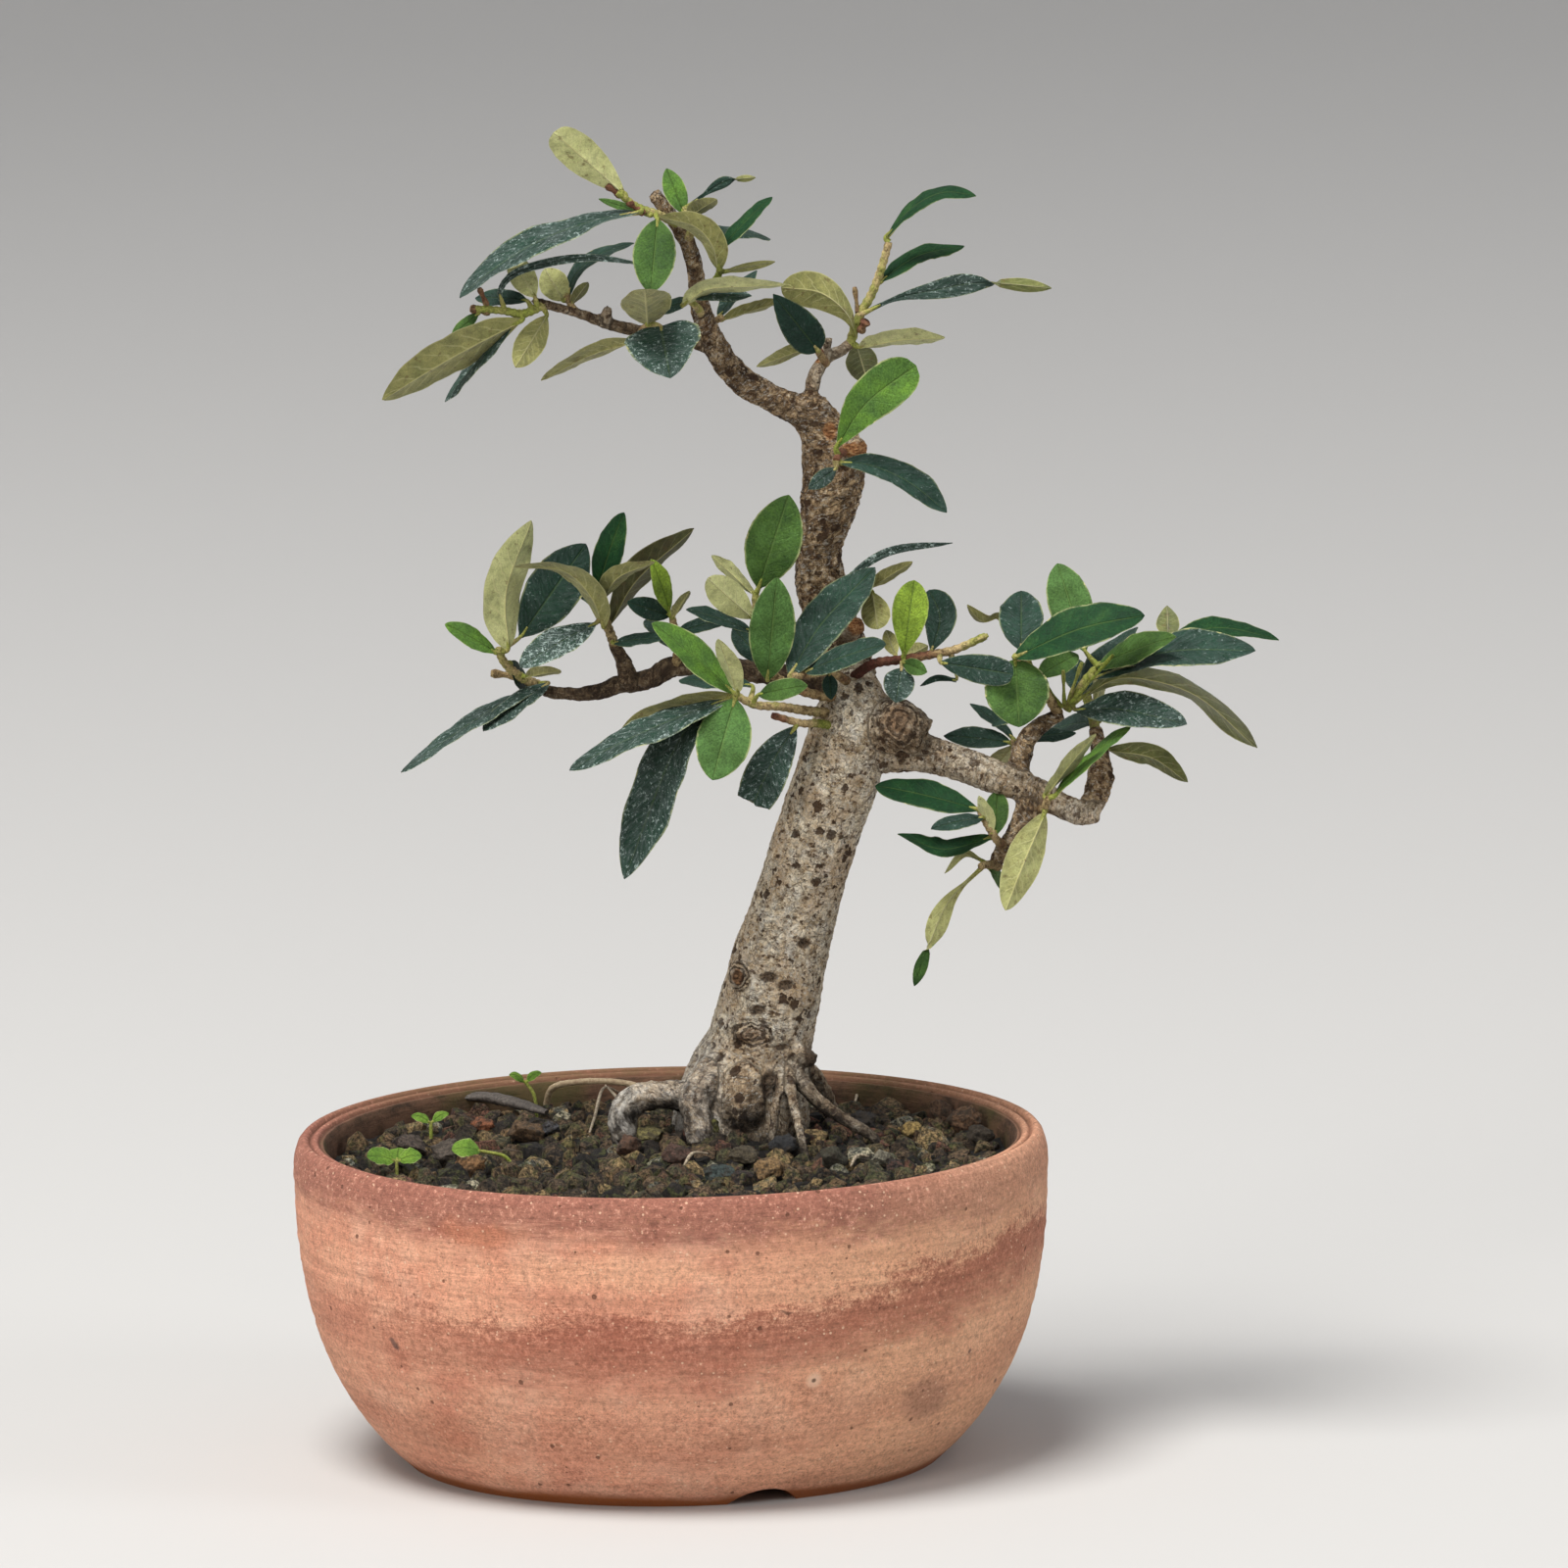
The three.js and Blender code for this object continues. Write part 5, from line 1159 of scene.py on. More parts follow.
# A look: how young the green is (0 deep blue-green, 1 lime), how much grey bloom lies on it, and how
# pale the felt below is (0 olive brown, 1 cream).
LOOKS = {
    "deep": (0.05, 0.25, 0.35), "dark": (0.16, 0.5, 0.28), "grey": (0.14, 1.0, 0.25),
    "forest": (0.36, 0.0, 0.5),
    "mid": (0.52, 0.12, 0.5), "green": (0.64, 0.05, 0.6), "bright": (0.72, 0.0, 0.7),
    "lime": (0.98, 0.0, 0.8),
    "olive": (0.3, 0.2, 0.42), "moss": (0.3, 0.2, 0.22), "pale": (0.45, 0.1, 0.78), "brown": (0.25, 0.2, 0.1),
    "ripe": (0.45, 0.1, 0.6), "ash": (0.22, 1.5, 0.3),
}

SPRAYS = {
    "crown_tip_spray": (0.9, [(553, 312, 2), (534, 320, 0), (513, 317, -2), (484, 315, -3)], [
        (533, 326, 390, 408, 38, -1, -8, -1, "olive"),
        (523, 333, 454, 410, 15, 0, 4, 1, "grey"),
        (488, 320, 460, 346, 13, -3, -5, 1, "mid"),
        (538, 307, 485, 304, 18, 2, 10, 1, "dark"),
        (546, 303, 521, 262, 27, 0, 4, -1, "pale"),
        (558, 322, 526, 375, 30, 1, -10, -1, "olive"),
        (515, 318, 659, 270, 9, -2, -4, 1, "ash", [(510, 298), (522, 281), (559, 268), (604, 263)]),
    ]),
    "crown_left_spray": (0.8, [(590, 321, 6), (583, 312, 6), (578, 302, 7)], [
        (575, 307, 556, 274, 30, 7, 12, -1, "ripe"),
        (583, 310, 600, 288, 12, 6, 2, -1, "brown"),
        (580, 303, 647, 248, 13, 8, 14, 1, "dark", [(586, 283), (608, 262)]),
    ]),
    "crown_front_spray": (0.9, [(655, 340, 9), (658, 335, 4), (664, 330, 0)], [
        (661, 331, 658, 295, 52, 0, -20, -1, "olive"),
        (674, 333, 684, 386, 78, -1, -18, 1, "grey", [], 0, (0.42, 0.78)),
        (652, 346, 552, 388, 15, 5, 2, -1, "olive", [(604, 360)]),
    ]),
    "leader_side_spray": (0.8, [(716, 322, 12), (712, 314, 6), (702, 306, 2)], [
        (696, 312, 801, 290, 17, 1, -8, -1, "pale", [(719, 294), (758, 291)]),
        (704, 303, 767, 302, 15, 2, 0, 1, "grey"),
        (706, 306, 672, 318, 14, 3, 8, 1, "dark"),
    ]),
    "leader_right_spray": (0.8, [(722, 328, 13), (730, 327, 16), (738, 324, 17)], [
        (736, 326, 796, 308, 12, 17, 20, -1, "olive"),
        (734, 324, 772, 276, 16, 17, 30, 1, "dark"),
    ]),
    "apex_left_spray": (0.9, [(690, 228, 8), (672, 219, 4), (650, 211, 2), (630, 196, 0)], [
        (638, 199, 565, 135, 38, 1, -6, -1, "pale", [], 0, (0.85, 0.42)),
        (654, 216, 469, 304, 25, 1, -8, 1, "grey", [(608, 225), (549, 247), (500, 278)]),
        (664, 220, 611, 203, 9, 2, 12, 1, "mid"),
        (671, 224, 664, 299, 44, 1, -9, 1, "mid"),
    ]),
    "apex_spray": (0.9, [(700, 246, 10), (706, 234, 6), (704, 222, 4), (698, 214, 4)], [
        (698, 218, 680, 172, 23, 4, 8, 1, "bright"),
        (706, 208, 771, 181, 12, 4, 8, 1, "dark", [(738, 186)], 180),
        (702, 221, 731, 203, 17, 4, -6, -1, "olive"),
        (708, 233, 786, 244, 10, 7, 18, 1, "dark"),
    ]),
    "apex_side_spray": (0.8, [(712, 298, 12), (724, 292, 6), (734, 278, 2), (733, 262, 0)], [
        (734, 276, 673, 221, 23, 0, -6, -1, "olive", [(728, 250), (710, 230)]),
        (733, 258, 788, 201, 15, 0, 6, 1, "forest"),
        (740, 277, 791, 267, 9, 2, 8, -1, "olive"),
    ]),
    "crown_right_spray": (1, [
        (867, 352, 20), (877, 322, 20), (889, 301, 20), (899, 275, 20), (907, 247, 20),
    ], [
        (904, 243, 996, 200, 14, 20, 16, 1, "forest", [(930, 213), (962, 197)]),
        (897, 288, 984, 251, 18, 20, 28, 1, "forest", [(936, 262)]),
        (880, 320, 1073, 294, 23, 19, 12, 1, "grey", [(916, 304), (960, 295), (984, 290), (1019, 289)], 180),
        (876, 354, 964, 344, 18, 19, 8, -1, "pale", [(916, 346)]),
        (872, 342, 797, 293, 38, 19, 12, -1, "olive", [(865, 322), (838, 299)], 0, (1.4, 0.6)),
        (874, 352, 886, 392, 33, 20, 32, -1, "moss"),
    ]),
    "crown_right_inner_spray": (0.8, [(843, 371, 18), (837, 362, 12), (832, 354, 8)], [
        (835, 358, 789, 300, 38, 8, -2, 1, "deep", [], 0, (0.5, 0.85)),
        (830, 352, 772, 374, 14, 9, 4, -1, "olive"),
    ]),
    "trunk_shoot_spray": (0.9, [(862, 461, 13), (857, 463, 8), (853, 470, 5)], [
        (853, 457, 935, 373, 48, 6, -4, 1, "bright", [(884, 412)], 0, (0.95, 0.42)),
        (857, 472, 966, 523, 27, 6, 0, 1, "dark", [(884, 474), (925, 491)]),
        (853, 478, 825, 499, 17, 5, 0, 1, "grey"),
    ]),
    "left_tip_spray": (1, [(549, 699, 24), (530, 690, 20), (514, 675, 16), (508, 662, 14)], [
        (518, 663, 542, 531, 40, 14, 10, -1, "pale", [(515, 606)]),
        (506, 666, 454, 637, 20, 14, 10, 1, "bright"),
        (531, 650, 598, 555, 56, 17, 26, 1, "dark"),
        (560, 697, 493, 746, 21, 21, 12, 1, "grey"),
        (552, 703, 409, 788, 17, 22, 16, 1, "grey", [(510, 720)]),
        (536, 690, 572, 684, 12, 19, 10, -1, "olive"),
        (520, 676, 540, 716, 14, 17, 30, 1, "dark"),
    ]),
    "left_spur_spray": (1, [(627, 658, 21), (618, 634, 18), (608, 613, 16)], [
        (608, 636, 531, 681, 31, 15, 2, 1, "ash"),
        (616, 640, 525, 578, 16, 16, 6, -1, "olive", [(607, 612), (578, 582)]),
        (609, 606, 637, 523, 30, 16, 10, 1, "forest"),
        (614, 612, 668, 573, 18, 15, 6, -1, "olive", [(630, 588)]),
        (620, 640, 708, 539, 27, 20, 26, -1, "brown", [(646, 594)]),
        (626, 656, 678, 652, 14, 19, 12, 1, "dark"),
        (612, 622, 580, 590, 18, 18, 32, 1, "dark"),
    ]),
    "left_inner_spray": (0.9, [(690, 681, 24), (691, 655, 20), (686, 630, 17)], [
        (683, 624, 664, 571, 20, 17, 10, 1, "lime"),
        (687, 629, 703, 603, 10, 16, 10, -1, "olive"),
        (684, 628, 640, 614, 23, 18, 10, 1, "dark"),
        (690, 646, 742, 632, 16, 20, 26, 1, "dark"),
        (690, 664, 660, 632, 20, 22, 38, 1, "dark"),
    ]),
    "front_spray": (1, [(852, 728, 12), (822, 725, 5), (796, 721, 1), (770, 719, -2), (750, 709, -4)], [
        (748, 707, 665, 636, 30, -4, -10, 1, "bright"),
        (753, 707, 733, 652, 20, -6, -14, -1, "pale"),
        (746, 708, 634, 746, 21, -2, 6, -1, "olive"),
        (744, 713, 581, 786, 26, -4, -10, 1, "grey"),
        (724, 726, 637, 897, 50, -1, -6, 1, "grey", [(700, 745)], 0, (0.7, 0.75)),
        (750, 713, 727, 796, 56, -5, -14, 1, "green"),
        (768, 700, 693, 694, 18, 0, 10, 1, "dark"),
        (774, 709, 824, 700, 22, -4, -12, 1, "mid"),
    ]),
    "front_upper_spray": (1, [
        (864, 712, 13), (838, 710, 8), (806, 700, 4), (782, 680, 2), (772, 640, 2), (771, 606, 2),
    ], [
        (783, 694, 793, 589, 47, -1, -6, 1, "green"),
        (774, 600, 805, 505, 57, 1, -4, 1, "mid"),
        (768, 631, 722, 590, 34, 1, -6, -1, "pale"),
        (771, 607, 726, 567, 14, 2, 6, -1, "pale"),
        (768, 645, 700, 622, 15, 3, 2, 1, "dark"),
        (779, 676, 748, 640, 26, 4, 16, 1, "dark"),
    ]),
    "hanging_leaf_spray": (0.9, [(856, 742, 12), (834, 738, 5), (818, 738, 0), (788, 730, -3)], [
        (812, 741, 769, 819, 44, -1, 0, 1, "grey", [(789, 776)]),
    ]),
    "centre_spray": (0.9, [(864, 695, 9), (848, 686, 3), (826, 688, -2), (808, 690, -5)], [
        (806, 690, 893, 579, 46, -4, 6, 1, "dark", [(836, 640)]),
        (822, 686, 904, 658, 25, -3, -16, 1, "dark"),
        (846, 688, 848, 714, 16, 1, -6, 1, "deep"),
        (826, 684, 812, 644, 20, -1, 8, 1, "dark"),
    ]),
    "upper_trunk_spray": (0.9, [(852, 612, 18), (868, 608, 12), (886, 604, 9)], [
        (852, 600, 972, 554, 9, 11, 6, 1, "ash", [(904, 564)]),
        (886, 600, 931, 573, 14, 9, 4, -1, "olive"),
        (890, 604, 896, 642, 30, 9, 3, -1, "olive"),
        (872, 606, 880, 574, 16, 12, 22, 1, "dark"),
    ]),
    "centre_right_spray": (1, [
        (872, 690, 13), (892, 677, 6), (920, 673, 2), (950, 668, 0), (974, 663, 0), (1006, 649, 0),
    ], [
        (922, 671, 933, 592, 37, 1, -4, 1, "lime", [], 0, (1.1, 0.6)),
        (950, 666, 948, 602, 36, 2, 8, 1, "dark", [(959, 630)], 0, (1.05, 0.6)),
        (924, 670, 947, 659, 18, 4, 10, -1, "olive"),
        (922, 676, 946, 686, 17, 0, -8, 1, "mid"),
        (920, 682, 914, 717, 32, 0, -8, 1, "grey"),
        (960, 676, 1034, 688, 31, -2, -10, 1, "dark", [], 0, (0.7, 0.34)),
        (914, 669, 904, 643, 16, 4, 9, -1, "olive"),
        (976, 694, 939, 700, 7, 2, 4, 1, "dark", [(956, 692)]),
    ]),
    "right_front_spray": (1, [(1080, 728, 8), (1066, 706, 2), (1050, 684, -2), (1037, 669, -4)], [
        (1035, 671, 1168, 628, 42, -5, -8, 1, "forest", [(1102, 642)]),
        (1042, 664, 1042, 603, 46, -1, 14, 1, "dark"),
        (1040, 648, 987, 617, 11, 14, 10, -1, "olive", [(1020, 629), (1004, 633)]),
        (1036, 673, 1040, 742, 66, -4, -10, 1, "mid"),
        (1070, 712, 1012, 740, 16, 4, 14, 1, "dark"),
        (1058, 692, 1100, 668, 24, 0, 12, 1, "mid"),
    ]),
    "right_outer_spray": (1, [
        (1088, 724, 9), (1100, 706, 8), (1120, 682, 8), (1160, 662, 8), (1196, 650, 7),
    ], [
        (1107, 664, 1079, 575, 45, 9, 20, 1, "green"),
        (1120, 680, 1200, 650, 27, 6, -8, 1, "mid"),
        (1192, 648, 1191, 618, 24, 8, 18, -1, "moss"),
        (1116, 692, 1281, 664, 34, 4, -6, 1, "dark", [(1190, 666)]),
        (1197, 648, 1305, 653, 18, 8, 12, 1, "forest", [(1247, 641)]),
        (1094, 718, 1283, 763, 23, 7, -4, -1, "moss", [(1139, 691), (1178, 693),
        (1224, 710)], 0, (1.5, 0.85)),
        (1097, 724, 1211, 739, 35, 5, -10, 1, "grey", [(1140, 724)]),
        (1104, 704, 1160, 640, 20, 10, 30, 1, "dark"),
    ]),
    "right_back_spray": (1, [(1118, 746, 12), (1114, 728, 18), (1108, 712, 24)], [
        (1130, 764, 1212, 798, 22, 16, 18, -1, "moss", [(1176, 772)]),
        (1116, 722, 1180, 728, 26, 20, 36, 1, "dark"),
        (1112, 712, 1090, 672, 28, 24, 36, 1, "dark"),
        (1122, 736, 1066, 748, 20, 18, 40, 1, "dark"),
        (1116, 716, 1140, 664, 22, 24, 44, -1, "olive"),
    ]),
    "right_inner_spray": (0.8, [(1046, 770, 8), (1040, 762, 13), (1034, 757, 17)], [
        (1031, 758, 963, 751, 22, 18, 22, 1, "dark"),
        (1034, 754, 990, 718, 12, 18, 26, 1, "dark"),
        (1038, 756, 1098, 748, 14, 15, 18, 1, "dark"),
        (1034, 760, 1010, 792, 20, 18, 32, -1, "olive"),
    ]),
    "low_front_spray": (0.9, [(1062, 826, 2), (1066, 824, -5), (1070, 814, -8)], [
        (1066, 829, 1026, 929, 37, -6, -10, -1, "ripe"),
        (1066, 812, 1118, 749, 14, -7, -10, -1, "ripe"),
        (1076, 812, 1154, 741, 13, -8, -4, 1, "bright"),
    ]),
    "low_spray": (0.9, [(1028, 864, 1), (1018, 858, -4), (1010, 846, -6), (1000, 828, -6)], [
        (1000, 827, 893, 802, 30, -6, -2, 1, "forest"),
        (1004, 834, 950, 846, 16, -7, -14, 1, "dark"),
        (1014, 854, 916, 851, 18, -5, -8, 1, "forest", [(962, 867)]),
        (1012, 850, 999, 812, 14, -6, -10, -1, "pale"),
        (1016, 852, 1018, 808, 25, -3, 4, 1, "mid"),
    ]),
    "low_tip_spray": (0.9, [(1019, 884, 1), (1008, 882, -4), (1000, 884, -6)], [
        (1001, 886, 933, 1006, 22, -5, -2, -1, "ripe", [(968, 920), (949, 962)], 180),
        (1003, 879, 964, 891, 8, -4, 4, -1, "ripe", [(984, 871)]),
        (1008, 884, 1030, 914, 12, -3, 8, 1, "mid"),
    ]),
}
# A shoot's tone at its root and at its end: 0 red-brown, 0.5 tan, 1 green.
SHOOT_TONES = {
    "apex_left": (0.7, 0.85), "crown_right": (0.85, 0.5), "left_tip": (0.6, 0.75), "left_spur": (0.5, 0.6),
    "front": (0.5, 0.7), "front_upper": (0.4, 0.75), "hanging_leaf": (0.95, 0.0),
    "centre_right": (-0.1, 0.95),
    "right_front": (0.45, 0.55), "right_outer": (0.8, 0.85), "right_back": (0.8, 0.8),
    "crown_tip": (0.8, 0.85),
    "leader_side": (0.65, 0.75), "apex": (0.6, 0.75), "apex_side": (0.7, 0.85), "trunk_shoot": (0.2, 0.2),
}
# A stub or bud's row: pixel and depth of its foot, pixel of its end, radius in millimetres, its tone.
STUBS = {
    "apex_left_leaves": [(634, 200, 1, 619, 189, 0.8, 0.1), (657, 218, 2, 640, 205, 0.8, 0.1)],
    "crown_right_leaves": [(876, 324, 20, 872, 293, 0.55, 0.4), (877, 338, 20, 884, 327, 1.1, 0.2)],
    "crown_tip_leaves": [(500, 318, -2, 480, 315, 0.9, 0.3), (497, 312, -2, 489, 294, 0.6, 0.3)],
    "centre_right_leaves": [(985, 659, 0, 1008, 648, 0.55, 0.75)],
    "right_outer_leaves": [
        (1084, 722, 6, 1066, 698, 0.42, 0.9), (1086, 721, 4, 1085, 684, 0.42, 0.85),
        (1090, 716, 4, 1104, 676, 0.45, 0.8), (1092, 718, 2, 1136, 668, 0.42, 0.95),
    ],
    "left_tip_leaves": [(530, 690, 20, 501, 687, 0.9, 0.4)],
    "crown_right_inner_leaves": [(842, 370, 18, 838, 356, 0.8, 0.2)],
}


class Sprig:
    """The shoot, petioles and blades of one spray, with what each face is made of."""

    def __init__(self):
        self.points, self.faces, self.places, self.looks, self.slots = [], [], [], [], []

    def add(self, points, faces, slots, look, places=None):
        start = len(self.points)
        self.points += points
        self.faces += [[start + corner for corner in face] for face in faces]
        self.places += places or [(0.5, 0.5)] * len(points)
        self.looks += look if isinstance(look, list) else [look] * len(points)
        self.slots += slots

    def piece(self, name, materials):
        made = new_piece(name, self.points, self.faces, materials)
        mesh = made.data
        mesh.polygons.foreach_set("material_index", self.slots)
        set_vectors(made, "tint", self.looks)
        corners = np.empty(len(mesh.loops), np.int32)
        mesh.loops.foreach_get("vertex_index", corners)
        blade_map = mesh.uv_layers.new(name="blade")
        blade_map.data.foreach_set("uv", np.array(self.places, np.float32)[corners].ravel())
        shade_smooth(made, 50)
        return made


def blade_frame(base, tip, seen_width, face, least_width):
    """Length, true width, upper direction and fold of a blade that shows with a given width."""
    along = tip - base
    length = along.length
    along.normalize()
    shown = seen_width / PIXELS_PER_METRE
    width = max(shown, length * least_width)
    to_eye = (viewer - base).normalized()
    facing = (to_eye - along * to_eye.dot(along)).normalized()
    turn = math.acos(max(0.12, min(1, shown / width)))
    sides = [Quaternion(along, angle) @ facing * face for angle in (turn, -turn)]
    return length, width, max(sides, key=lambda side: side.z), BLADE_FOLD * min(1, 0.2 + shown / width)


def turned_width(share):
    """How wide a blade is that turns over: a narrow waist lies where it turns, and its tip is smaller."""
    waist = 0.5 * math.exp(-((share - TWIST_SHARE) / 0.07) ** 2)
    if share < TWIST_SHARE:
        return max(0.1, waist, math.sin(math.pi * (share / TWIST_SHARE) ** 2.2) ** 0.8)
    tip = math.sin(math.pi * (share - TWIST_SHARE) / (1 - TWIST_SHARE))
    return max(0.1, waist, 0.62 * max(0, tip) ** 0.7)


def half_width(share, base_power, tip_power):
    """How wide a blade is along its rib, from 0 at the petiole to 1 at its widest."""
    widest = base_power / (base_power + tip_power)
    share = min(max(share, 0), 1)
    full = widest ** base_power * (1 - widest) ** tip_power
    return share ** base_power * (1 - share) ** tip_power / full


def add_blade(sprig, spine, width, upper, look, seed, twist=0.0, kept=1.0, fold=BLADE_FOLD, powers=None):
    """A blade along a spine. Past the twist it turns over, and a kept share below 1 is a broken tip."""
    draw = random.Random(seed)
    phase = draw.uniform(0, 2 * math.pi)
    cup = draw.uniform(-0.12, 0.05)
    base_power, tip_power = powers or (draw.uniform(0.66, 0.82), draw.uniform(0.62, 0.78))
    crinkle = Vector((seed * 1.7, 0, 0))
    rows = len(spine)
    top, under, places = [], [], []
    for number, centre in enumerate(spine):
        centre = Vector(centre)
        share = BLADE_SHARES[number]
        tangent = Vector(spine[min(number + 1, rows - 1)]) - Vector(spine[max(number - 1, 0)])
        tangent.normalize()
        turned_over = max(0.0, min(1.0, (share - TWIST_SHARE + 0.03) / 0.06))
        turn = math.radians(twist) * turned_over
        across = tangent.cross(Quaternion(tangent, turn) @ upper).normalized()
        normal = across.cross(tangent).normalized()
        spread_out = turned_width(share) if twist else half_width(share * kept, base_power, tip_power)
        reach = spread_out * width / 2
        reach = max(reach, 0.9 * PETIOLE_RADIUS * MM * (1 - share) + 0.05 * MM)
        if number == rows - 1 and kept == 1:
            reach = 0.12 * MM
        for side in BLADE_ACROSS:
            bent = fold * (math.sqrt(side * side + 0.015) - 0.122) + cup * side ** 4
            ripple = noise.noise(crinkle + Vector((0, share * 9, side * 1.6)))
            wave = BLADE_WAVE * width * side * side * (math.sin(phase + share * 9 + side) + 1.5 * ripple)
            slanted = share * 8 - abs(side) * 1.5
            vein = 0.035 * MM * math.sin(slanted * 2 * math.pi) * (1 - side * side) * min(1, abs(side) * 6)
            lift = bent * reach + (wave + vein) * min(1, spread_out)
            tooth = 1 + 0.03 * noise.noise(crinkle + Vector((9, share * 16, side)))
            torn = 0
            if kept < 1 and number == rows - 1:
                torn = 0.9 * MM * noise.noise(Vector((side * 2.7, seed, 0)))
            spot = centre + across * side * reach * tooth + normal * lift + tangent * torn
            thin = (1 - side * side) ** 0.5
            body = BLADE_THICKNESS * MM / 2 * (0.25 + 0.75 * thin) * min(1, 0.3 + spread_out)
            rib = RIB_THICKNESS * MM * max(0, 1 - abs(side) / 0.14) * (1 - 0.75 * share)
            top.append(spot + normal * (body * thin - 0.3 * rib))
            under.append(spot - normal * (body * thin + rib))
            places.append((share * kept, side / 2 + 0.5))
    wide = len(BLADE_ACROSS)
    count = rows * wide
    faces, slots = [], []
    for row in range(rows - 1):
        for column in range(wide - 1):
            a, b = row * wide + column, row * wide + column + 1
            corners = [a, b, b + wide, a + wide]
            faces.append(corners)
            slots.append(0)
            below = [corner + count if 0 < corner % wide < wide - 1 else corner for corner in corners]
            faces.append(below[::-1])
            slots.append(1)
    for row, order in ((0, 1), (rows - 1, -1)):
        middle = [row * wide + column for column in range(1, wide - 1)]
        back = [corner + count for corner in reversed(middle)]
        edge = [row * wide] + middle + [row * wide + wide - 1] + back
        faces.append(edge[::-order])
        slots.append(1)
    points = top + under
    used = sorted({corner for face in faces for corner in face})
    fresh = {old: new for new, old in enumerate(used)}
    sprig.add(
        [points[old] for old in used], [[fresh[corner] for corner in face] for face in faces], slots, look,
        [(places * 2)[old] for old in used],
    )


def add_stalk(sprig, path, radii, sides, look):
    points, faces = tube(path, radii, sides)
    sprig.add(points, faces, [2] * len(faces), look)


def blade_veins(tree, side_veins, angle):
    """The slant of the side veins, the distance from the rib, and lines of the veins and rib."""
    place = node(tree, "ShaderNodeUVMap", uv_map="blade").outputs[0]
    parts = node(tree, "ShaderNodeSeparateXYZ", {0: place}).outputs
    from_rib = sums(tree, "ABSOLUTE", sums(tree, "MULTIPLY_ADD", parts["Y"], 2.0, -1.0))
    slant = sums(tree, "MULTIPLY_ADD", parts["X"], side_veins, times(tree, from_rib, -angle))
    wobble = node(tree, "ShaderNodeTexNoise", {"Vector": place, "Scale": 4.0, "Detail": 2.0}).outputs["Fac"]
    slant = plus(tree, slant, wobble)
    saw = sums(tree, "ABSOLUTE", sums(tree, "SUBTRACT", sums(tree, "FRACT", slant), 0.5))
    veins = times(tree, ramp(tree, saw, [(0.0, 1), (0.11, 0)]), ramp(tree, from_rib, [(0.55, 1), (0.9, 0)]))
    rib = ramp(tree, from_rib, [(0.015, 1), (0.06, 0)])
    return slant, from_rib, veins, rib


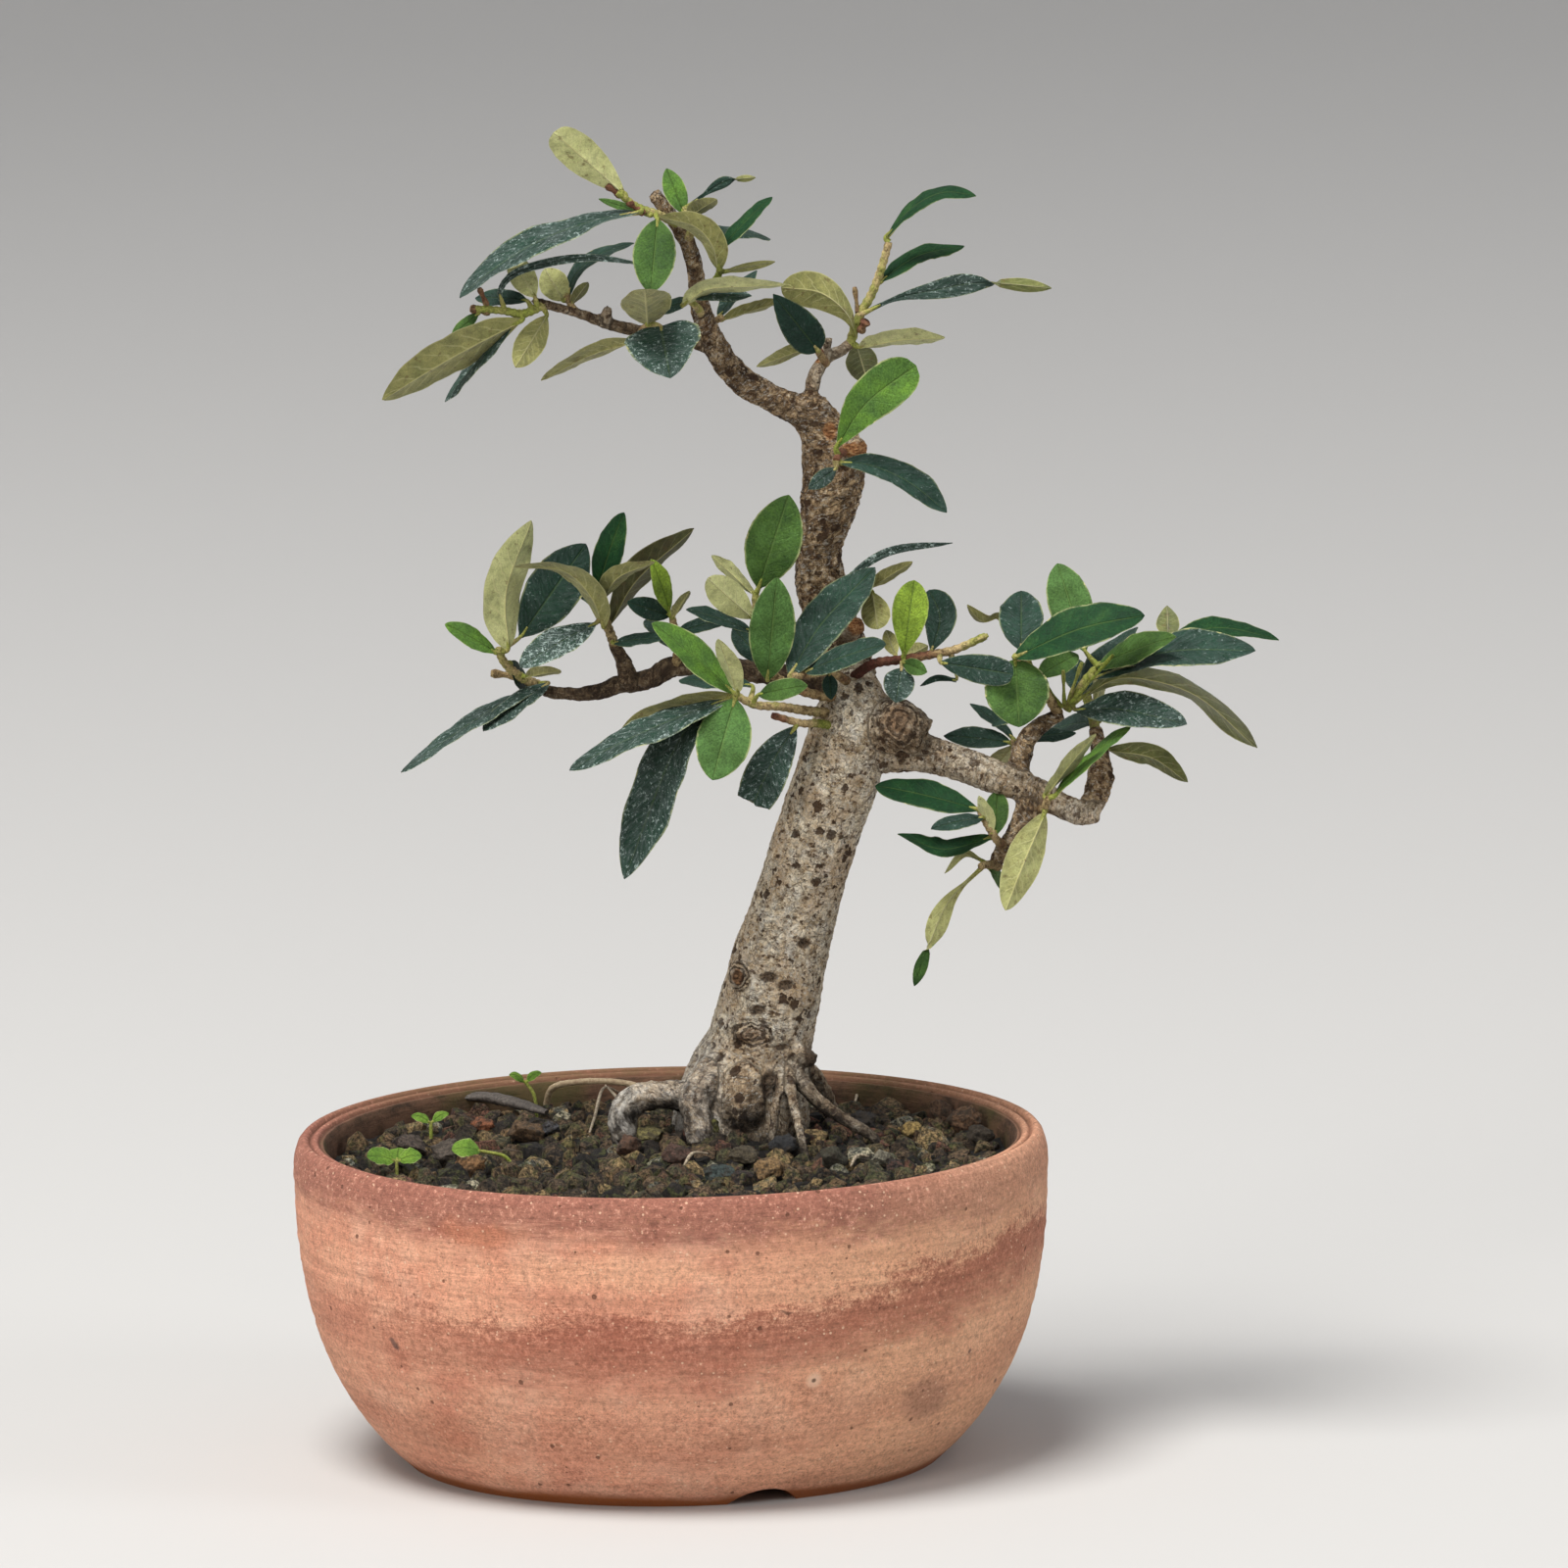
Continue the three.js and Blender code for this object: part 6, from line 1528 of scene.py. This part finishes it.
def leaf_upper():
    material, tree, shader = new_material("leaf_upper")
    place = object_place(tree)
    tint = carried(tree, "tint", "Vector")
    youth, bloom, _ = node(tree, "ShaderNodeSeparateXYZ", {0: tint}).outputs
    slant, from_rib, veins, rib = blade_veins(tree, 8.0, 1.5)
    clouds = spread(tree, place, 6, 3, 0.6)
    fine = spread(tree, place, 0.45, 3, 0.7)
    height = node(tree, "ShaderNodeSeparateXYZ", {0: place}).outputs["Z"]
    veinwise = node(tree, "ShaderNodeCombineXYZ", {
        0: times(tree, slant, 2.4), 1: times(tree, from_rib, 1.6),
        2: times(tree, height, 40.0),
    }).outputs[0]
    streaks = node(tree, "ShaderNodeTexNoise", {"Vector": veinwise, "Scale": 1.6, "Detail": 6.0,
                                                "Roughness": 0.75}).outputs["Fac"]
    flecks = spread(tree, place, 0.9, 5, 0.8, shift=(7, 3, 1))
    shifted = plus(tree, youth, sums(tree, "MULTIPLY_ADD", clouds, 0.24, -0.12))
    colour = ramp(tree, shifted, [
        (0.0, 0.007, 0.024, 0.015), (0.2, 0.011, 0.036, 0.022), (0.37, 0.01, 0.043, 0.014),
        (0.53, 0.05, 0.104, 0.02),
        (0.66, 0.068, 0.145, 0.038), (0.76, 0.085, 0.172, 0.024), (0.88, 0.14, 0.225, 0.03),
        (1.0, 0.25, 0.37, 0.045),
    ])
    colour = shaded(tree, colour, 0.9, fine, [(0.34, 0.6), (0.66, 1.4)])
    colour = shaded(tree, colour, 0.9, clouds, [(0.34, 0.76), (0.66, 1.2)])
    blemish = ramp(tree, spread(tree, place, 1.6, 5, 0.75, shift=(8, 8, 1)), [(0.6, 0), (0.66, 0.6)])
    colour = marked(tree, colour, blemish, youth, (0.03, 0.045, 0.012))
    colour = blended(tree, times(tree, veins, times(tree, youth, 0.22)), colour, (0.1, 0.19, 0.06))
    colour = blended(tree, times(tree, rib, sums(tree, "MULTIPLY_ADD", youth, 0.3, 0.15)), colour,
                     (0.14, 0.22, 0.06))
    # A thin grey film lies on the old leaves, with white specks of lime that dried along the veins.
    film = times(tree, ramp(tree, streaks, [(0.42, 0.06), (0.6, 0.46)]), bloom)
    colour = blended(tree, film, colour, (0.105, 0.128, 0.125))
    specks = spread(tree, place, 1.0, 5, 0.8, shift=(2, 6, 6))
    near_margin = ramp(tree, from_rib, [(0.55, 0.0), (0.95, 0.035)])
    fewer = sums(tree, "MULTIPLY_ADD", bloom, 0.06, -0.06)
    specks = plus(tree, plus(tree, specks, near_margin), fewer)
    lime = sums(tree, "MAXIMUM", ramp(tree, specks, [(0.57, 0), (0.62, 1)]),
                ramp(tree, plus(tree, streaks, fewer), [(0.6, 0), (0.67, 0.8)]))
    lime = times(tree, lime, ramp(tree, flecks, [(0.42, 0.1), (0.52, 1)]))
    colour = blended(tree, times(tree, lime, times(tree, bloom, 0.75)), colour,
                     (0.38, 0.47, 0.44))
    margin = times(tree, ramp(tree, from_rib, [(0.915, 0), (0.965, 0.9)]),
                  sums(tree, "MULTIPLY_ADD", youth, 0.6, 0.4))
    margin = times(tree, margin, ramp(tree, spread(tree, place, 3, 4, 0.7), [(0.42, 0.15), (0.58, 1)]))
    colour = blended(tree, margin, colour, (0.4, 0.42, 0.2))
    roughness = ramp(tree, flecks, [(0.3, 0.42), (0.7, 0.68)])
    relief = layered(tree, (fine, 0.5), (veins, -0.3), (rib, -0.9), (streaks, 0.8))
    finish_shader(tree, shader, colour, roughness, relief, 0.25, gloss=0.1)
    return material


def leaf_felt():
    material, tree, shader = new_material("leaf_felt")
    place = object_place(tree)
    tint = carried(tree, "tint", "Vector")
    felt = node(tree, "ShaderNodeSeparateXYZ", {0: tint}).outputs["Z"]
    _, from_rib, veins, rib = blade_veins(tree, 8.0, 1.5)
    wool = spread(tree, place, 0.35, 4, 0.75)
    clouds = spread(tree, place, 5, 3, 0.6)
    stains = spread(tree, place, 1.8, 3, 0.6, shift=(5, 2, 9))
    colour = ramp(tree, plus(tree, felt, sums(tree, "MULTIPLY_ADD", clouds, 0.4, -0.2)), [
        (0.0, 0.075, 0.06, 0.022), (0.22, 0.115, 0.13, 0.04), (0.45, 0.26, 0.25, 0.085),
        (0.7, 0.4, 0.41, 0.17),
        (1.0, 0.6, 0.61, 0.3),
    ])
    colour = shaded(tree, colour, 0.8, wool, [(0.3, 0.66), (0.7, 1.3)])
    rubbed = spread(tree, place, 2.4, 5, 0.75, shift=(1, 6, 3))
    worn = ramp(tree, rubbed, [(0.36, 0.62), (0.5, 1.0), (0.64, 1.22)])
    colour = blended(tree, 0.8, colour, worn, "MULTIPLY")
    pale_veins = times(tree, veins, sums(tree, "MULTIPLY_ADD", felt, 0.9, 0.05))
    colour = blended(tree, pale_veins, colour, (0.52, 0.5, 0.24))
    colour = marked(tree, colour, rib, 0.75, (0.5, 0.46, 0.2))
    colour = blended(tree, ramp(tree, stains, [(0.61, 0), (0.68, 0.65)]), colour, (0.12, 0.08, 0.025))
    colour = blended(tree, ramp(tree, from_rib, [(0.93, 0), (0.985, 0.6)]), colour, (0.5, 0.48, 0.24))
    relief = layered(tree, (wool, 0.7), (veins, 0.3), (rib, 0.6))
    finish_shader(tree, shader, colour, ramp(tree, wool, [(0, 0.95), (1, 0.8)]), relief, 0.22, gloss=0.2)
    shader.inputs["Sheen Weight"].default_value = 0.2
    return material


def green_shoot():
    material, tree, shader = new_material("young_shoot")
    place = object_place(tree)
    tint = carried(tree, "tint", "Vector")
    youth = node(tree, "ShaderNodeSeparateXYZ", {0: tint}).outputs["X"]
    clouds = spread(tree, place, 3.5, 3, 0.6)
    wool = spread(tree, place, 0.4, 4, 0.7)
    colour = ramp(tree, plus(tree, youth, sums(tree, "MULTIPLY_ADD", clouds, 0.8, -0.4)), [
        (0.0, 0.1, 0.035, 0.024), (0.2, 0.2, 0.09, 0.05), (0.42, 0.3, 0.21, 0.1), (0.6, 0.5, 0.38, 0.19),
        (0.78, 0.3, 0.3, 0.08), (1.0, 0.25, 0.3, 0.05),
    ])
    colour = shaded(tree, colour, 0.9, wool, [(0.34, 0.5), (0.66, 1.4)])
    scars = ramp(tree, spread(tree, place, 1.1, 5, 0.75, shift=(3, 3, 8)), [(0.54, 0), (0.6, 0.75)])
    woody = ramp(tree, youth, [(0.5, 1), (0.75, 0.25)])
    colour = marked(tree, colour, scars, woody, (0.07, 0.04, 0.022))
    relief = sums(tree, "SUBTRACT", wool, times(tree, scars, 0.5))
    finish_shader(tree, shader, colour, ramp(tree, wool, [(0, 0.9), (1, 0.75)]), relief, 0.4, gloss=0.2)
    return material


leaf_materials = [leaf_upper(), leaf_felt(), green_shoot()]


def spray_piece(name, radius, shoot, leaves, number):
    sprig = Sprig()
    root_tone, end_tone = SHOOT_TONES.get(name.replace("_leaves", ""), (0.4, 0.5))
    steps = 10 * len(shoot)
    tones = []
    for ring in range(steps):
        tones += [(root_tone + (end_tone - root_tone) * (ring / steps) ** 2, 0, 0)] * SHOOT_SIDES
    path = [Vector(point) for point in smooth_path([seen(*spot) for spot in shoot], steps)]
    girths = [
        radius * MM * (1.2 - 0.3 * step / steps) * (1 + 0.1 * math.sin(step * 1.9)) for step in range(steps)
    ]
    add_stalk(sprig, path, girths, SHOOT_SIDES, tones)
    for px, py, depth, end_x, end_y, stub_radius, tone in STUBS.get(name, []):
        stub = smooth_path([seen(px, py, depth), seen(end_x, end_y, depth - 1)], STUB_STEPS)
        swollen = [stub_radius * MM * (1 + 0.25 * math.sin(step * 1.3)) for step in range(STUB_STEPS)]
        swollen[-1] *= 0.8
        add_stalk(sprig, stub, swollen, 10, (tone, 0, 0))
    for place, row in enumerate(leaves):
        base_x, base_y, tip_x, tip_y, seen_width, base_depth, tip_depth, face, look, *more = row
        rib_pixels = more[0] if more else []
        twist = more[1] if len(more) > 1 else 0
        kept = 0.8 if name == "hanging_leaf_leaves" else 1
        base = seen(base_x, base_y, base_depth)
        tip = seen(tip_x, tip_y, tip_depth)
        least_width = 0 if twist or seen_width < 10 else LEAST_WIDTH_BY_LENGTH
        length, width, upper, fold = blade_frame(base, tip, seen_width, face, least_width)
        rib = [
            seen(px, py, base_depth + (tip_depth - base_depth) * (step + 1) / (len(rib_pixels) + 1))
            for step, (px, py) in enumerate(rib_pixels)
        ]
        dense = smooth_path([base, *rib, tip], RIB_STEPS)
        along = np.linspace(0, 1, RIB_STEPS)
        spine = np.column_stack([np.interp(BLADE_SHARES, along, column) for column in dense.T])
        if not rib_pixels:
            arch = 4 * BLADE_SHARES * (1 - BLADE_SHARES)
            spine = spine + np.array(upper) * BLADE_ARCH * length * arch[:, None]
        tint = LOOKS[look]
        powers = more[2] if len(more) > 2 else None
        add_blade(sprig, spine, width, upper, tint, number * 100 + place, twist, kept, fold, powers)
        root = min(path, key=lambda point: (point - base).length)
        stalk = smooth_path([root, base, Vector(spine[4])], PETIOLE_STEPS)
        thin = [
            PETIOLE_RADIUS * MM * (1.45 - 0.95 * step / (PETIOLE_STEPS - 1)) for step in range(PETIOLE_STEPS)
        ]
        add_stalk(sprig, stalk, thin, PETIOLE_SIDES, (0.72 + 0.25 * tint[0], 0, 0))
    return sprig.piece(name, leaf_materials)


for number, (name, (radius, shoot, leaves)) in enumerate(SPRAYS.items()):
    spray = spray_piece(name.replace("_spray", "_leaves"), radius, shoot, leaves, number + 1)
    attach(spray, "root")
    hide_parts(name)

# Weeds and straw
# Four seedlings grow in the grit, and a dead grass stem lies over it in a low arch.
# A seedling's row: foot pixel, head from the foot, and leaves as tip from the foot and width.

SEEDLINGS = {
    "seedling_left": ((405, 1197), (0, 0, 2.8), [
        (-6.8, -1.6, 4.2, 6.6), (5.8, 0.4, 3.8, 5.4), (0.6, 6, 4.8, 4.4),
    ]),
    "seedling_middle": ((526, 1193), (-7.4, -0.5, 4.4), [(-14.6, -1.4, 5.0, 6.8)]),
    "seedling_back": ((548, 1136), (-2.6, 0.5, 7.4), [(-6.4, -0.6, 9.4, 3.2), (1.2, 0.8, 9.6, 2.8)]),
    "seedling_far_left": ((440, 1162), (0, 0, 3.8), [(-4.6, 0.8, 5.4, 3.2), (4.2, 1, 5.8, 3)]),
}
STRAW = [
    (556, 1136, -2.5), (564, 1110, 4.5), (590, 1104, 6), (628, 1104, 6), (656, 1110, 4.5), (668, 1128, -2.5),
]

for number, (name, (foot, head, leaves)) in enumerate(SEEDLINGS.items()):
    sprig = Sprig()
    ground_spot = seen_at_height(*foot, SOIL_LEVEL * MM)
    ground_spot.z = soil_height((ground_spot.x - bowl_axis.x) / MM, (ground_spot.y - bowl_axis.y) / MM) * MM
    top = ground_spot + Vector(head) * MM
    bend = ground_spot + Vector((head[0] * 0.25, head[1] * 0.25, head[2] * 0.6)) * MM
    stem = smooth_path([ground_spot - Vector((0, 0, 3 * MM)), bend, top], 14)
    add_stalk(sprig, stem, [0.42 * MM] * 14, 10, (0.9, 0, 0))
    for place, (x, y, z, width) in enumerate(leaves):
        tip = ground_spot + Vector((x, y, z)) * MM
        start = top.lerp(tip, 0.1)
        middle = start.lerp(tip, 0.5) + Vector((0, 0, 0.5 * MM))
        spine = smooth_path([start, middle, tip], BLADE_STEPS)
        look = (0.8, 0.0, 0.9)
        facing = Vector((0, -0.5, 0.87))
        seed = 500 + number * 10 + place
        add_blade(sprig, spine, width * MM, facing, look, seed, fold=0.08, powers=(0.5, 0.5))
        add_stalk(sprig, smooth_path([top, start, Vector(spine[2])], 8), [0.35 * MM] * 8, 8, (0.9, 0, 0))
    weed = sprig.piece(name.replace("seedling", "weed"), leaf_materials)
    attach(weed, "root")
    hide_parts(name)

straw_spots = [seen_at_height(px, py, (SOIL_LEVEL + lift) * MM) for px, py, lift in STRAW]
straw_path = smooth_path(straw_spots, 70)
straw_radii = [0.72 * MM * (1 + 0.12 * math.sin(step * 0.9) ** 8) for step in range(70)]
straw = new_piece("straw", *tube(straw_path, straw_radii, 14),
                  [dead_fibre("dry_straw", (0.56, 0.45, 0.29), (0.24, 0.16, 0.09))])
shade_smooth(straw, 60)
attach(straw, "root")
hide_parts("dry_stem")

# Studio
# A plain pale floor that sweeps up all round, far from the plant, lit by large soft lamps.

FLOOR_TURNS = 96
FLOOR_PROFILE = [(0, 0), (1.5, 0), (3.6, 0), (4.1, 0.04), (4.6, 0.25), (4.95, 0.75), (5.05, 1.6), (5.05, 3.2)]
sweep_path = smooth_path(FLOOR_PROFILE, 60)[1:]
floor_points = [(0, 0, 0)]
for turn in range(FLOOR_TURNS):
    angle = turn / FLOOR_TURNS * 2 * math.pi
    for radius, height in sweep_path:
        floor_points.append((radius * math.cos(angle), radius * math.sin(angle), max(0, height)))
rows = len(sweep_path)
floor_faces = []
for turn in range(FLOOR_TURNS):
    near, far = 1 + turn * rows, 1 + (turn + 1) % FLOOR_TURNS * rows
    floor_faces.append((0, near, far))
    floor_faces += [(near + row, near + row + 1, far + row + 1, far + row) for row in range(rows - 1)]


def matt_paper():
    material, _, shader = new_material("matt_paper")
    shader.inputs["Base Color"].default_value = (0.51, 0.5, 0.49, 1)
    shader.inputs["Roughness"].default_value = 1.0
    shader.inputs["Specular IOR Level"].default_value = 0.0
    return material


floor = new_piece("floor", floor_points, floor_faces, [matt_paper()])
floor.data.polygons.foreach_set("use_smooth", [True] * len(floor.data.polygons))


def soft_lamp(name, place, target, size, watts, colour):
    data = bpy.data.lights.new(name, "AREA")
    data.shape = "DISK"
    data.size = size
    data.energy = watts
    data.color = colour
    lamp = bpy.data.objects.new(name, data)
    bpy.context.scene.collection.objects.link(lamp)
    lamp.location = place
    lamp.rotation_mode = "QUATERNION"
    lamp.rotation_quaternion = (Vector(place) - Vector(target)).to_track_quat("Z", "Y")


soft_lamp("sky_lamp", (-0.9, -1.1, 3.5), (0, 0, 0.12), 1.8, 175, (1, 0.99, 0.96))
soft_lamp("front_lamp", (-2.2, -3.4, 1.6), (0, 0, 0.12), 1.5, 62, (1, 0.97, 0.93))
soft_lamp("side_lamp", (3.2, -1.4, 1.7), (0, 0, 0.14), 1.5, 34, (0.96, 0.98, 1))
world = bpy.data.worlds.new("room")
bpy.context.scene.world = world
world.use_nodes = True
world.node_tree.nodes["Background"].inputs["Color"].default_value = (0.86, 0.9, 0.96, 1)
world.node_tree.nodes["Background"].inputs["Strength"].default_value = 0.42
bpy.context.scene.view_settings.view_transform = "Standard"
